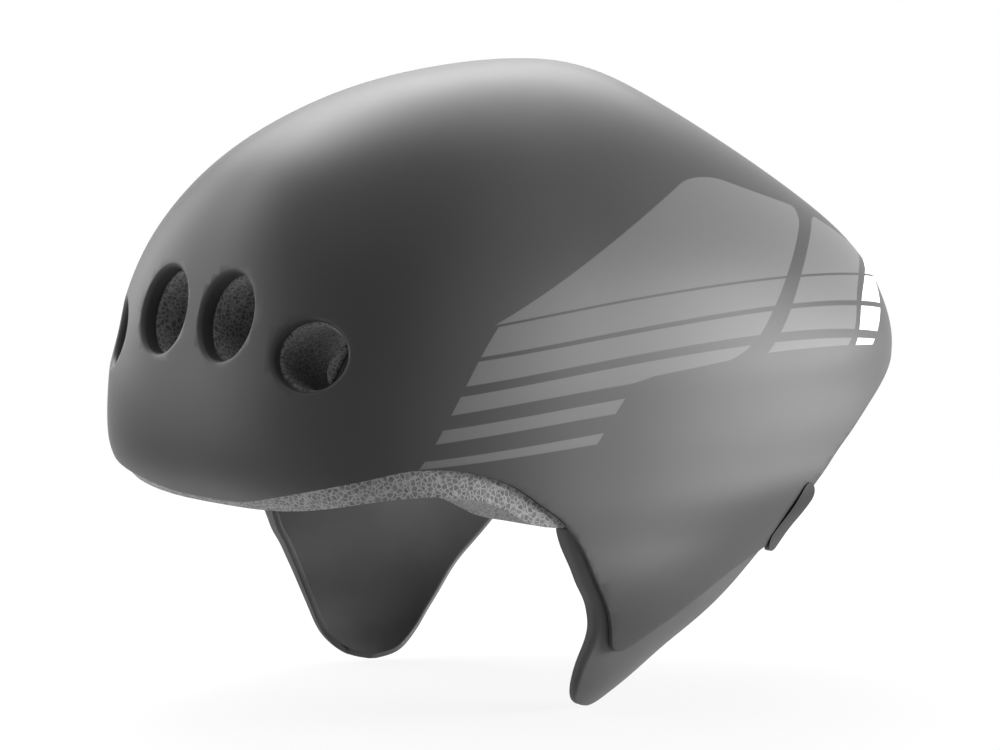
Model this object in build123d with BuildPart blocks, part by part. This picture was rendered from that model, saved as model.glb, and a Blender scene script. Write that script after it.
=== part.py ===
from build123d import *
from math import cos, pi, radians, sin, sqrt
import os

os.makedirs("parts", exist_ok=True)

# Aero time trial helmet. Millimetres, +Z up, -Y forwards, +X the wearer's left.
# The origin is the centre of the head at the height of the headband.

# Outer form: how far it reaches from the origin each way
front_reach = 133.5
tail_reach = 213.0
half_width = 106.5
crown_height = 155.0
flap_drop = 106.0

# Walls and the gaps between neighbours
shell_wall = 1.8
bond_gap = 0.3
flap_wall = 3.0
flap_flange_depth = 9.0
flap_flange_wall = 2.6
flap_gap = 0.6
run_gap = 0.05
cut_overrun = 30.0

# Head space inside the foam
head_half_width = 78.0
head_half_length = 100.0
head_height = 118.0
head_exponent = 2.2
head_drop = 130.0

# Front vents, placed by their side offset and height on the shell
vent_half_heights = (16.9, 13.4)
vent_half_widths = (15.6, 15.0)
vent_lip = 2.0
vent_collar_wall = 2.4
vent_collar_depth = 7.0
vent_foam_step = 1.2
vent_places = ((21.0, 60.3), (65.0, 48.3))

# Air channels over the head
channel_width = 15.0
channel_depth = 8.0
channel_offsets = (21.0, 50.0)
channel_low = 24.0

# Tabs on the rear lower edge
tab_length = 32.0
tab_width = 9.0
tab_proud = 0.6
tab_angle = 50.0
tab_clearance = 0.15
tab_centre_shares = (0.462, -0.250)

# Rivets that hold the ear flaps
rivet_head_radius = 3.4
rivet_sag = 0.4
rivet_head_height = 1.4
rivet_shank_radius = 2.0
rivet_place_shares = ((-0.090, -0.264), (0.130, -0.264), (0.290, -0.270))

# Comfort pads and the hook discs that hold them
disc_thickness = 0.8
disc_radius = 8.0
brow_disc_shares = (-0.3, 0, 0.3)
pad_gap = 0.3
pad_thickness = 5.0
pad_corner = 10.0
brow_pad_width = 104.0
brow_pad_height = 24.0
brow_pad_centre = 10.0
crown_pad_width = 56.0
crown_pad_length = 36.0
crown_pad_centres = (-42.0, 52.0)
temple_pad_length = 30.0
temple_pad_height = 24.0
temple_pad_centre = (-52.0, 24.0)

# Chin strap webbing, stowed against the crown
webbing = 1.2
webbing_width = 15.0
webbing_gap = 0.3
strap_plane = 6.0
strap_fork_height = 46.0
front_strap_foot = (-20.0, -6.0)
rear_strap_foot = (50.0, 8.0)
strap_free_side = 33.0
anchor_radius = 9.0
anchor_thickness = 3.0
divider_length = 22.0
divider_width = 20.0
divider_thickness = 3.4

# Side-release buckle at the crown
buckle_top = 106.2
buckle_thickness = 7.0
buckle_width = 22.0
buckle_half_length = 22.0
buckle_corner = 2.5
buckle_chamfer = 0.8
buckle_bar = 2.5
plug_slot = 11.0
socket_slot = 4.0
tongue_length = 9.0
tongue_width = 12.0
tongue_thickness = 2.4
tongue_clearance = 0.3
bar_thickness = 2.2
loop_gap = 0.5
loop_end = 37.0

# Fit system: two toothed belts on one arc, tilted down to the nape
belt_radius = 72.0
belt_wall = 1.4
belt_tilt = 22.0
belt_centre = (0.0, 23.3, -9.0)
belt_half_height = 5.0
belt_end_angle = 104.0
belt_body_angle = 38.0
belt_toe_angle = 14.0
belt_lap_angle = 2.0

# Rack and pinion between the belts
gear_module = 0.8
gear_teeth = 10
gear_addendum = 0.7
gear_dedendum = 0.9
rack_addendum = 0.5
rack_spine = 2.4
tooth_half = 0.50
tooth_tip_half = 0.22
tooth_root_half = 0.62
rack_tip_half = 0.27
rack_root_half = 0.80

# Dial housing, knob and ratchet
housing_angle = 20.0
housing_half_height = 11.0
housing_front_wall = 3.1
housing_back_wall = 3.7
housing_gap = 0.4
housing_rim = 2.6
screw_radius = 0.8
screw_head_radius = 1.4
screw_head_height = 0.8
screw_angle = 14.0
shaft_radius = 2.5
journal_radius = 2.0
knob_radius = 15.0
knob_height = 8.4
knob_lobes = 12
knob_groove = 1.6
knob_groove_radius = 2.4
knob_bore_depth = 5.9
knob_recess = 12.2
knob_recess_depth = 2.6
knob_notches = 24
notch_tooth_height = 0.7
notch_tooth_half = 0.6
ratchet_radius = 11.3
ratchet_wall = 1.5
ratchet_hub = 5.2
ratchet_thickness = 1.2
ratchet_arm_width = 2.4

# Nape cradle and its height slider
cradle_wall = 2.0
cradle_width = 56.0
cradle_lobe_radius = 12.0
cradle_lobe_side = 30.0
cradle_lobe_lift = 4.0
cradle_window = 7.0
cradle_pad_wall = 4.0
spine_width = 18.0
spine_wall = 1.6
spine_top = 38.0
spine_knee = -6.0
spine_back = 98.7
spine_hole_radius = 1.5
spine_hole_pitch = 6.0
spine_holes = 4
clip_wall = 1.6
clip_rail = 2.5
clip_lip = 1.8
clip_low = 7.0
clip_high = 27.0
clip_gap = 0.3
peg_radius = 2.4
peg_length = 9.0
peg_height_shares = (0.25, 0.75)
slide_travel = 6.0

# Guides at the temples that keep the belts against the head
keeper_width = 5.0
keeper_wall = 1.4
keeper_gap = 0.6
keeper_low = -23.4
keeper_high = 8.0
keeper_peg = 4.0

# Each level of the outer form is one smooth horizontal outline, listed from the flap tips up:
# height, nose, widest station, tail and half width as shares of the reaches above (a height
# below the origin is a share of the flap drop, the widest station a share of the tail reach),
# then the exponents that square off its front and its rear.
level_shares = [
    (-0.981, 0.285, 0.009, 0.160, 0.638, 2.20, 2.00),
    (-0.906, 0.345, 0.000, 0.216, 0.723, 2.20, 2.00),
    (-0.821, 0.404, -0.014, 0.291, 0.817, 2.30, 2.00),
    (-0.708, 0.479, -0.038, 0.413, 0.892, 2.30, 2.00),
    (-0.566, 0.554, -0.056, 0.559, 0.995, 2.40, 2.00),
    (-0.396, 0.644, -0.070, 0.714, 1.033, 2.50, 2.00),
    (-0.264, 0.749, -0.066, 0.854, 1.016, 2.70, 2.05),
    (-0.142, 0.861, -0.052, 0.967, 1.012, 3.00, 2.10),
    (-0.028, 0.959, -0.033, 0.991, 1.006, 3.10, 2.10),
    (0.065, 0.996, -0.019, 0.998, 1.002, 3.10, 2.10),
    (0.168, 0.995, -0.014, 1.000, 1.000, 3.10, 2.10),
    (0.284, 0.973, -0.010, 0.998, 0.995, 3.10, 2.10),
    (0.470, 0.921, -0.005, 0.917, 0.947, 2.91, 2.08),
    (0.642, 0.823, 0.011, 0.750, 0.823, 2.72, 2.05),
    (0.790, 0.653, 0.036, 0.564, 0.649, 2.53, 2.03),
    (0.904, 0.403, 0.069, 0.409, 0.450, 2.35, 2.01),
    (0.965, 0.155, 0.099, 0.311, 0.281, 2.20, 2.00),
    (0.993, -0.065, 0.125, 0.230, 0.131, 2.07, 2.00),
]
flap_levels = level_shares[:13]
apex_share = 0.147
points_per_quarter = 9
dome_angles = (0, 15, 30, 45, 58, 70, 80, 86)
lip_angles = (0, 30, 60, 90)

# Side-view outlines: y as a share of the front or tail reach, z of the flap drop or crown height
shell_edge_shares = [
    (-0.891, -0.113), (-0.912, -0.057), (-0.864, -0.006), (-0.770, 0.023), (-0.700, 0.037),
    (-0.594, 0.036), (-0.476, 0.014), (-0.382, -0.029), (-0.300, -0.099), (-0.217, -0.177),
    (-0.156, -0.288), (-0.130, -0.358), (-0.086, -0.453), (-0.055, -0.530), (-0.028, -0.604),
    (0.002, -0.652), (0.042, -0.680), (0.107, -0.659), (0.167, -0.613), (0.231, -0.552),
    (0.283, -0.499), (0.334, -0.442), (0.373, -0.393), (0.415, -0.344), (0.453, -0.285),
    (0.496, -0.175), (0.550, -0.086), (0.597, -0.019), (0.652, 0.032), (0.732, 0.094),
    (0.834, 0.155), (0.900, 0.190), (1.000, 0.239),
]
foam_edge_shares = [
    (-0.816, -0.198), (-0.853, -0.123), (-0.809, -0.081), (-0.717, -0.049), (-0.619, -0.042),
    (-0.521, -0.056), (-0.414, -0.102), (-0.352, -0.147), (-0.285, -0.172), (-0.130, -0.176),
    (0.100, -0.176), (0.300, -0.160), (0.470, -0.090), (0.600, 0.030), (0.730, 0.128),
    (0.860, 0.205), (1.000, 0.280),
]
flap_front_shares = [
    (-0.202, -0.192), (-0.187, -0.264), (-0.160, -0.340), (-0.142, -0.396), (-0.114, -0.453),
    (-0.096, -0.509), (-0.082, -0.566), (-0.075, -0.642), (-0.071, -0.717), (-0.060, -0.792),
    (-0.032, -0.849), (0.007, -0.884), (0.047, -0.901),
]
flap_rear_shares = [
    (0.047, -0.901), (0.087, -0.885), (0.122, -0.849), (0.160, -0.792), (0.192, -0.736),
    (0.244, -0.651), (0.296, -0.566), (0.350, -0.481), (0.399, -0.396), (0.437, -0.316),
    (0.458, -0.226),
]


def side_points(shares):
    """Points of a side view (y, z) from their shares of the reaches."""
    return [
        (
            y_share * (front_reach if y_share < 0 else tail_reach),
            z_share * (flap_drop if z_share < 0 else crown_height),
        )
        for y_share, z_share in shares
    ]


def outline_points(nose, wide, tail, width, front_exponent, rear_exponent):
    """Points round one closed level, counter-clockwise from the tail."""
    quarter = [k / points_per_quarter * pi / 2 for k in range(points_per_quarter)]
    front = [
        (width * sin(t) ** (2 / front_exponent), wide - (wide + nose) * cos(t) ** (2 / front_exponent))
        for t in quarter
    ]
    rear = [
        (width * sqrt(max(0, 1 - sin(t) ** rear_exponent)), wide + (tail - wide) * sin(t))
        for t in quarter + [pi / 2]
    ]
    right = front + rear
    left = [(-x, y) for x, y in reversed(right[1:])]
    return left + right[:-1]


def level_face(height, *outline):
    with BuildSketch(Plane.XY.offset(height)) as level:
        with BuildLine():
            Spline(*outline_points(*outline), periodic=True)
        make_face()
    return level.sketch.faces()[0]


def outer_form(inset, levels=level_shares):
    """The helmet's outer form as one solid, moved in by inset all round."""
    sections = [
        level_face(
            height * ((flap_drop if height < 0 else crown_height) - inset),
            nose * (front_reach - inset),
            wide * tail_reach,
            tail * (tail_reach - inset),
            width * (half_width - inset),
            front_exponent,
            rear_exponent,
        )
        for height, nose, wide, tail, width, front_exponent, rear_exponent in levels
    ]
    if levels is level_shares:
        sections.append(Vertex(0, apex_share * tail_reach, crown_height - inset))
    with BuildPart() as form:
        loft(sections=sections)
    return form.part


def head_form(inset):
    """The head space as one solid, made smaller by inset all round."""
    sections = []
    for angle in dome_angles:
        size = cos(radians(angle))
        length = (head_half_length - inset) * size
        height = (head_height - inset) * sin(radians(angle))
        width = (head_half_width - inset) * size
        sections.append(level_face(height, length, 0, length, width, head_exponent, head_exponent))
    with BuildPart() as form:
        loft(sections=sections + [Vertex(0, 0, head_height - inset)])
        extrude(sections[0], amount=-head_drop)
    return form.part


def layer_between(outside, inside):
    with BuildPart() as layer:
        add(outside)
        add(inside, mode=Mode.SUBTRACT)
    return layer.part


def side_prism(outline, both=True):
    """A prism across the helmet, or its left half, from a closed outline in the side view."""
    with BuildPart() as prism:
        with BuildSketch(Plane.YZ):
            with BuildLine():
                for points in outline:
                    if len(points) > 2:
                        Spline(*points)
                    else:
                        Line(*points)
            make_face()
        extrude(amount=half_width + cut_overrun, both=both)
    return prism.part


def region_above(edge_shares):
    """The side-view region above an edge that runs from the brow to the tail."""
    edge = side_points(edge_shares)
    front_end = -front_reach - cut_overrun
    rear_end = tail_reach + cut_overrun
    top_end = crown_height + cut_overrun
    front_height = edge[0][1]
    rear_height = edge[-1][1]
    return side_prism([
        edge,
        [edge[-1], (rear_end, rear_height)],
        [(rear_end, rear_height), (rear_end, top_end)],
        [(rear_end, top_end), (front_end, top_end)],
        [(front_end, top_end), (front_end, front_height)],
        [(front_end, front_height), edge[0]],
    ])


def tab_prism(clearance, both):
    """The rounded outline of the edge tabs, across the helmet or its left half."""
    centre = side_points([tab_centre_shares])[0]
    with BuildPart() as prism:
        with BuildSketch(Plane.YZ):
            with Locations(Location(centre, tab_angle)):
                SlotOverall(tab_length + 2 * clearance, tab_width + 2 * clearance)
        extrude(amount=half_width + cut_overrun, both=both)
    return prism.part


def inside_of(part, region):
    with BuildPart() as common:
        add(part)
        add(region, mode=Mode.INTERSECT)
    return common.part


def finish(part, name):
    part.label = name
    export_step(part, f"parts/{name}.step")


def finish_pair(part, name):
    """Writes a left piece and its mirror image on the right."""
    with BuildPart() as other:
        mirror(part, about=Plane.YZ)
    finish(part, f"left_{name}")
    finish(other.part, f"right_{name}")


outer_body = outer_form(0)
shell_inside = outer_form(shell_wall)
head_space = head_form(0)
shell_region = region_above(shell_edge_shares)
foam_region = region_above(foam_edge_shares)

# Each vent is an oval whose plane touches the outer form where the vent's axis leaves it
vents = []
for (side, height), half_high, half_wide in zip(vent_places, vent_half_heights, vent_half_widths):
    for x in (side, -side):
        sight = Axis((x, -front_reach - cut_overrun, height), (0, 1, 0))
        point, normal = outer_body.find_intersection_points(sight)[0]
        vents.append((Plane(origin=point, x_dir=(0, 0, 1), z_dir=normal), half_high, half_wide))


def vent_tubes(growth, depth):
    """Oval cutters on the vents' axes, wider by growth, from outside the shell down to a depth."""
    with BuildPart() as cutters:
        for plane, half_high, half_wide in vents:
            with BuildSketch(plane.offset(-depth)):
                Ellipse(half_high + growth, half_wide + growth)
            extrude(amount=depth + vent_collar_depth)
    return cutters.part


def vent_cutter(plane, half_high, half_wide):
    """A vent's bore, flared by a quarter round where it meets the outer surface."""
    with BuildPart() as cutter:
        for angle in lip_angles:
            growth = vent_lip * (1 - cos(radians(angle)))
            with BuildSketch(plane.offset(vent_lip * (sin(radians(angle)) - 1))):
                Ellipse(half_high + growth, half_wide + growth)
        loft()
        with BuildSketch(plane.offset(-cut_overrun)):
            Ellipse(half_high, half_wide)
        extrude(amount=cut_overrun)
        with BuildSketch(plane):
            Ellipse(half_high + vent_lip, half_wide + vent_lip)
        extrude(amount=vent_collar_depth)
    return cutter.part


# outer_shell: one thin skin whose vents are rolled in to a collar
collar_pits = vent_tubes(vent_collar_wall, vent_collar_depth)
shell_core = layer_between(shell_inside, collar_pits)
vent_cutters = [vent_cutter(*vent) for vent in vents]
tab_notch = tab_prism(tab_clearance, True)
with BuildPart() as outer_shell:
    add(outer_body)
    add(shell_core, mode=Mode.SUBTRACT)
    add(vent_cutters, mode=Mode.SUBTRACT)
    add(shell_region, mode=Mode.INTERSECT)
    add(tab_notch, mode=Mode.SUBTRACT)
finish(outer_shell.part, "outer_shell")

# foam_liner: expanded foam between the shell and the head, with the vents' bores, the air
# channels, the recess for the cradle's spine and the seats of all that is fixed to it
foam_outside = outer_form(shell_wall + bond_gap)
collar_seats = vent_tubes(vent_collar_wall + bond_gap, vent_collar_depth + bond_gap)
spine_recess = head_half_length + clip_gap + clip_wall / 2
with BuildPart() as channel_slabs:
    for offset in channel_offsets:
        for x in (offset, -offset):
            with BuildSketch(Plane.YZ.offset(x - channel_width / 2)):
                with Locations((0, channel_low)):
                    Rectangle(
                        2 * tail_reach, crown_height, align=(Align.CENTER, Align.MIN)
                    )
            extrude(amount=channel_width)
channels = inside_of(head_form(-channel_depth), channel_slabs.part)


def anchor_plane(y, z, sign):
    """Where a strap's foot touches the head space, the normal pointing out of it on either side."""
    sight = Axis((0, y, z), (1, 0, 0))
    point, normal = max(head_space.find_intersection_points(sight), key=lambda hit: hit[0].X)
    return Plane(
        origin=(sign * point.X, point.Y, point.Z),
        x_dir=(0, 1, 0),
        z_dir=(sign * normal.X, normal.Y, normal.Z),
    )


anchor_planes = [
    anchor_plane(*foot, sign) for foot in (front_strap_foot, rear_strap_foot) for sign in (1, -1)
]
with BuildPart() as anchor_seats:
    for plane in anchor_planes:
        with BuildSketch(plane.offset(-anchor_radius)):
            Circle(anchor_radius + run_gap)
        extrude(amount=anchor_radius + anchor_thickness + 2 * bond_gap)
with BuildPart() as keeper_seats:
    with BuildSketch(Plane.XZ.offset(-belt_centre[1] - keeper_width / 2 - run_gap)):
        for height in (keeper_low + keeper_wall / 2, keeper_high - keeper_wall / 2):
            with Locations((0, height)):
                Rectangle(2 * (head_half_width + keeper_peg + bond_gap), keeper_wall + 2 * run_gap)
    extrude(amount=keeper_width + 2 * run_gap)
vent_bores = vent_tubes(-vent_foam_step, head_half_width)
with BuildPart() as spine_slot:
    with BuildSketch(Plane.XY.offset(-head_drop)):
        Rectangle(spine_width + 2 * (clip_rail + clip_gap), spine_recess, align=(Align.CENTER, Align.MIN))
    extrude(amount=head_drop + spine_top + 2 * slide_travel)
with BuildPart() as peg_holes:
    with BuildSketch(Plane.XZ.offset(-spine_recess)):
        with Locations(*[(0, clip_low + share * (clip_high - clip_low)) for share in peg_height_shares]):
            Circle(peg_radius + run_gap)
    extrude(amount=-peg_length - bond_gap)
with BuildPart() as foam_liner:
    add(foam_outside)
    add(foam_region, mode=Mode.INTERSECT)
    add([head_space, channels, spine_slot.part], mode=Mode.SUBTRACT)
    add([collar_seats, vent_bores, peg_holes.part], mode=Mode.SUBTRACT)
    add([anchor_seats.part, keeper_seats.part], mode=Mode.SUBTRACT)
finish(foam_liner.part, "foam_liner")

# Ear flaps: curved plates that carry on the shell's surface behind its lower tongue
flap_front = side_points(flap_front_shares)
flap_rear = side_points(flap_rear_shares)
flap_region = side_prism([flap_front, flap_rear, [flap_rear[-1], flap_front[0]]], both=False)
flap_outside = outer_form(shell_wall + flap_gap, flap_levels)
flap_inside = outer_form(shell_wall + flap_gap + flap_wall, flap_levels)
rivet_places = side_points(rivet_place_shares)

# A flange is turned in along the flap's front edge to stiffen it
flange_inside = outer_form(shell_wall + flap_gap + flap_flange_depth, flap_levels)
flange_rear = [(y + flap_flange_wall, z) for y, z in flap_front[1:-2]]
flange_top = (-front_reach, flange_rear[0][1])
flange_low = (-front_reach, flange_rear[-1][1])
flange_region = side_prism([
    flange_rear, [flange_rear[-1], flange_low], [flange_low, flange_top], [flange_top, flange_rear[0]],
], both=False)
flap_core = layer_between(flap_inside, flange_region)


def rivet_plane(y, z):
    """Where a rivet's axis meets the flap's inner face, its normal pointing into the helmet."""
    sight = Axis((0, y, z), (1, 0, 0))
    hits = flap_inside.find_intersection_points(sight)
    point, normal = max(hits, key=lambda hit: hit[0].X)
    return Plane(origin=point, x_dir=(0, 1, 0), z_dir=-normal)


rivet_planes = [rivet_plane(*place) for place in rivet_places]
with BuildPart() as rivet_holes:
    for plane in rivet_planes:
        with BuildSketch(plane.offset(-flap_wall * 2)):
            Circle(rivet_shank_radius + run_gap)
        extrude(amount=flap_wall * 4)
with BuildPart() as ear_flap:
    add(flap_outside)
    add(flap_core, mode=Mode.SUBTRACT)
    add(flange_inside, mode=Mode.SUBTRACT)
    add(flap_region, mode=Mode.INTERSECT)
    add(rivet_holes.part, mode=Mode.SUBTRACT)
finish_pair(ear_flap.part, "ear_flap")

# flap_rivets: push rivets through the flaps, headed on the inside
with BuildPart() as left_rivets:
    for plane in rivet_planes:
        with BuildSketch(plane.offset(-flap_wall)):
            Circle(rivet_shank_radius)
        extrude(amount=flap_wall + rivet_sag)
        with BuildSketch(plane.offset(rivet_sag)):
            Circle(rivet_head_radius)
        extrude(amount=rivet_head_height, taper=30)
with BuildPart() as flap_rivets:
    add(left_rivets.part)
    mirror(left_rivets.part, about=Plane.YZ)
finish(flap_rivets.part, "flap_rivets")

# Edge tabs: rounded caps that close the shell's notch on each side
tab_layer = layer_between(
    outer_form(-tab_proud, flap_levels), outer_form(shell_wall + tab_clearance, flap_levels)
)
edge_tab = inside_of(tab_layer, tab_prism(0, False))
finish_pair(edge_tab, "edge_tab")

# Comfort pads and their hook discs line the head space
pad_layer = layer_between(
    head_form(disc_thickness + pad_gap), head_form(disc_thickness + pad_gap + pad_thickness)
)
disc_layer = layer_between(head_form(run_gap), head_form(run_gap + disc_thickness))


def front_cutter(width, height, corner):
    with BuildPart() as cutter:
        with BuildSketch(Plane.XZ):
            with Locations((0, brow_pad_centre)):
                RectangleRounded(width, height, corner)
        extrude(amount=front_reach)
    return cutter.part


def crown_cutter(centre):
    with BuildPart() as cutter:
        with BuildSketch(Plane.XY):
            with Locations((0, centre)):
                RectangleRounded(crown_pad_width, crown_pad_length, pad_corner)
        extrude(amount=crown_height)
    return cutter.part


def temple_cutter():
    with BuildPart() as cutter:
        with BuildSketch(Plane.YZ):
            with Locations(temple_pad_centre):
                RectangleRounded(temple_pad_length, temple_pad_height, pad_corner)
        extrude(amount=half_width)
    return cutter.part


finish(inside_of(pad_layer, front_cutter(brow_pad_width, brow_pad_height, pad_corner)), "brow_pad")
front_crown, rear_crown = crown_pad_centres
finish(inside_of(pad_layer, crown_cutter(front_crown)), "front_crown_pad")
finish(inside_of(pad_layer, crown_cutter(rear_crown)), "rear_crown_pad")
temple_pad = inside_of(pad_layer, temple_cutter())
finish_pair(temple_pad, "temple_pad")
with BuildPart() as disc_cutters:
    with BuildSketch(Plane.XZ):
        with Locations(*[(share * brow_pad_width, brow_pad_centre) for share in brow_disc_shares]):
            Circle(disc_radius)
    extrude(amount=front_reach)
    with BuildSketch(Plane.XY):
        with Locations((0, front_crown), (0, rear_crown)):
            Circle(disc_radius)
    extrude(amount=crown_height)
    with BuildSketch(Plane.YZ):
        with Locations(temple_pad_centre):
            Circle(disc_radius)
    extrude(amount=half_width, both=True)
hook_discs = inside_of(disc_layer, disc_cutters.part)
finish(hook_discs, "hook_discs")

# strap_anchors: plugs that hold the ends of the webbing in the foam
with BuildPart() as strap_anchors:
    for plane in anchor_planes:
        with BuildSketch(plane.offset(bond_gap)):
            Circle(anchor_radius)
        extrude(amount=anchor_thickness)
finish(strap_anchors.part, "strap_anchors")

# Webbing: every strap is a strip of one thin layer that lines the head space
strap_layer = layer_between(head_form(webbing_gap), head_form(webbing_gap + webbing))


def strap_cutter(foot, head, near_side=0):
    """A strip of the side view from foot to head, on the helmet's left."""
    along = Vector(head[0] - foot[0], head[1] - foot[1])
    across = Vector(-along.Y, along.X).normalized() * webbing_width / 2
    corners = [
        (foot[0] + across.X, foot[1] + across.Y),
        (foot[0] - across.X, foot[1] - across.Y),
        (head[0] - across.X, head[1] - across.Y),
        (head[0] + across.X, head[1] + across.Y),
    ]
    with BuildPart() as cutter:
        with BuildSketch(Plane.YZ.offset(near_side)):
            with BuildLine():
                Polyline(*corners, close=True)
            make_face()
        extrude(amount=half_width)
    return cutter.part


def strap_side(sign):
    """The side view before (-1) or behind (1) the fork, where one strap ends beside the other."""
    align = (Align.MIN if sign > 0 else Align.MAX, Align.MAX)
    corner = (strap_plane + sign * webbing_gap / 2, chin_foot[1] - webbing_gap)
    with BuildPart() as side:
        with BuildSketch(Plane.YZ):
            with Locations(corner):
                Rectangle(tail_reach, 2 * crown_height, align=align)
        extrude(amount=half_width)
    return side.part


fork = (strap_plane, strap_fork_height)
chin_foot = (strap_plane, strap_fork_height + webbing_width / 2)
for foot, sign, name in (
    (front_strap_foot, -1, "front_strap"),
    (rear_strap_foot, 1, "rear_strap"),
):
    strip = inside_of(strap_layer, strap_cutter(foot, fork))
    finish_pair(inside_of(strip, strap_side(sign)), name)

# Dividers: flat clips where the front and rear straps meet
divider_layer = layer_between(
    head_form(2 * webbing_gap + webbing), head_form(2 * webbing_gap + webbing + divider_thickness)
)
with BuildPart() as divider_cutter:
    with BuildSketch(Plane.YZ):
        with Locations(fork):
            RectangleRounded(divider_width, divider_length, buckle_corner)
    extrude(amount=half_width)
finish_pair(inside_of(divider_layer, divider_cutter.part), "strap_divider")

# Chin straps run on from the fork to the crown, where each ends in a flat loop
loop_top = buckle_top - (buckle_thickness - bar_thickness) / 2 + loop_gap + webbing
loop_low = loop_top - bar_thickness - 2 * (loop_gap + webbing)
chin_ribbon = inside_of(
    strap_layer, strap_cutter(chin_foot, (strap_plane, crown_height), near_side=strap_free_side)
)
with BuildPart() as loop:
    with BuildSketch(Plane.XZ.offset(-strap_plane - webbing_width / 2)):
        with BuildLine():
            bight = buckle_half_length - buckle_bar - loop_gap - webbing
            Polyline(
                (bight, loop_low), (loop_end, loop_low), (loop_end, loop_low + webbing),
                (bight + webbing, loop_low + webbing), (bight + webbing, loop_top - webbing),
                (strap_free_side + webbing / 2, loop_top - webbing),
                (strap_free_side + webbing / 2, loop_top), (bight, loop_top), close=True,
            )
        make_face()
    extrude(amount=webbing_width)
with BuildPart() as chin_strap:
    add(chin_ribbon)
    add(loop.part)
finish_pair(chin_strap.part, "chin_strap")

# Buckle: the socket stays put, the plug's tongue slides out of it
buckle_low = buckle_top - buckle_thickness
buckle_middle = (buckle_top + buckle_low) / 2


def buckle_half(slot):
    """One half of the buckle on the left, with the slot that its webbing goes through."""
    with BuildPart() as half:
        with BuildSketch(Plane.XY.offset(buckle_low)):
            with Locations((buckle_half_length / 2, strap_plane)):
                RectangleRounded(buckle_half_length - run_gap, buckle_width, buckle_corner)
        extrude(amount=buckle_thickness)
        chamfer(half.faces().sort_by(Axis.Z)[-1].edges(), length=buckle_chamfer)
        chamfer(half.faces().sort_by(Axis.Z)[0].edges(), length=buckle_chamfer)
        with BuildSketch(Plane.XY.offset(buckle_low)):
            with Locations((buckle_half_length - buckle_bar - slot / 2, strap_plane)):
                Rectangle(slot, webbing_width + 2 * loop_gap)
        extrude(amount=buckle_thickness, mode=Mode.SUBTRACT)
        with BuildSketch(Plane.XZ.offset(-strap_plane - webbing_width / 2 - loop_gap)):
            with Locations((buckle_half_length, buckle_middle)):
                Rectangle(4 * buckle_bar, bar_thickness)
                Rectangle(2 * buckle_bar, buckle_thickness + run_gap, mode=Mode.ADD)
        extrude(amount=webbing_width + 2 * loop_gap, mode=Mode.SUBTRACT)
        with BuildSketch(Plane.XZ.offset(-strap_plane - webbing_width / 2 - loop_gap)):
            with Locations((buckle_half_length - buckle_bar / 2, buckle_middle)):
                Rectangle(buckle_bar, bar_thickness)
        extrude(amount=webbing_width + 2 * loop_gap)
    return half.part


socket_blank = buckle_half(socket_slot)
plug_blank = buckle_half(plug_slot)
pocket = tongue_clearance * 2
with BuildPart() as buckle_socket:
    add(socket_blank)
    with BuildSketch(Plane.YZ):
        with Locations((strap_plane, buckle_middle)):
            Rectangle(tongue_width + pocket, tongue_thickness + pocket)
    extrude(amount=tongue_length + tongue_clearance, mode=Mode.SUBTRACT)
with BuildPart() as buckle_plug:
    mirror(plug_blank, about=Plane.YZ)
    with BuildSketch(Plane.YZ.offset(-buckle_corner)):
        with Locations((strap_plane, buckle_middle)):
            Rectangle(tongue_width, tongue_thickness)
    extrude(amount=tongue_length + buckle_corner)
    fillet(
        buckle_plug.faces().sort_by(Axis.X)[-1].edges().filter_by(Axis.Z), radius=buckle_corner
    )
finish(buckle_socket.part, "buckle_socket")
finish(buckle_plug.part, "buckle_plug")

# Fit system, drawn in the belts' own plane: X across, Y back towards the nape, Z along the axis
belt_plane = Plane(
    origin=belt_centre,
    x_dir=(1, 0, 0),
    z_dir=(0, sin(radians(belt_tilt)), cos(radians(belt_tilt))),
)
pitch_radius = gear_module * gear_teeth / 2
rack_root = pitch_radius + gear_dedendum
rack_back = rack_root + rack_spine
tooth_pitch = pi * gear_module
belt_back = belt_radius + belt_wall


def arc_band(inner, outer, start, end, low, high):
    """A curved band about the belts' axis, its angles measured from the nape to the left."""
    with BuildPart() as band:
        with BuildSketch(belt_plane.offset(low)):
            with BuildLine():
                RadiusArc(arc_point(inner, start), arc_point(inner, end), inner)
                RadiusArc(arc_point(outer, start), arc_point(outer, end), outer)
                Line(arc_point(inner, start), arc_point(outer, start))
                Line(arc_point(inner, end), arc_point(outer, end))
            make_face()
        extrude(amount=high - low)
    return band.part


def arc_point(radius, angle):
    return (radius * sin(radians(angle)), radius * cos(radians(angle)))


def radial_plane(angle, radius):
    """A plane square to the belt at an angle from the nape: X along the belt, Z outwards."""
    x, y = arc_point(radius, angle)
    return Plane(
        origin=belt_plane.from_local_coords((x, y, 0)),
        x_dir=belt_plane.from_local_coords(Vector(*arc_point(1, angle + 90), 0)) - belt_plane.origin,
        z_dir=belt_plane.from_local_coords(Vector(*arc_point(1, angle), 0)) - belt_plane.origin,
    )


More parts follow.
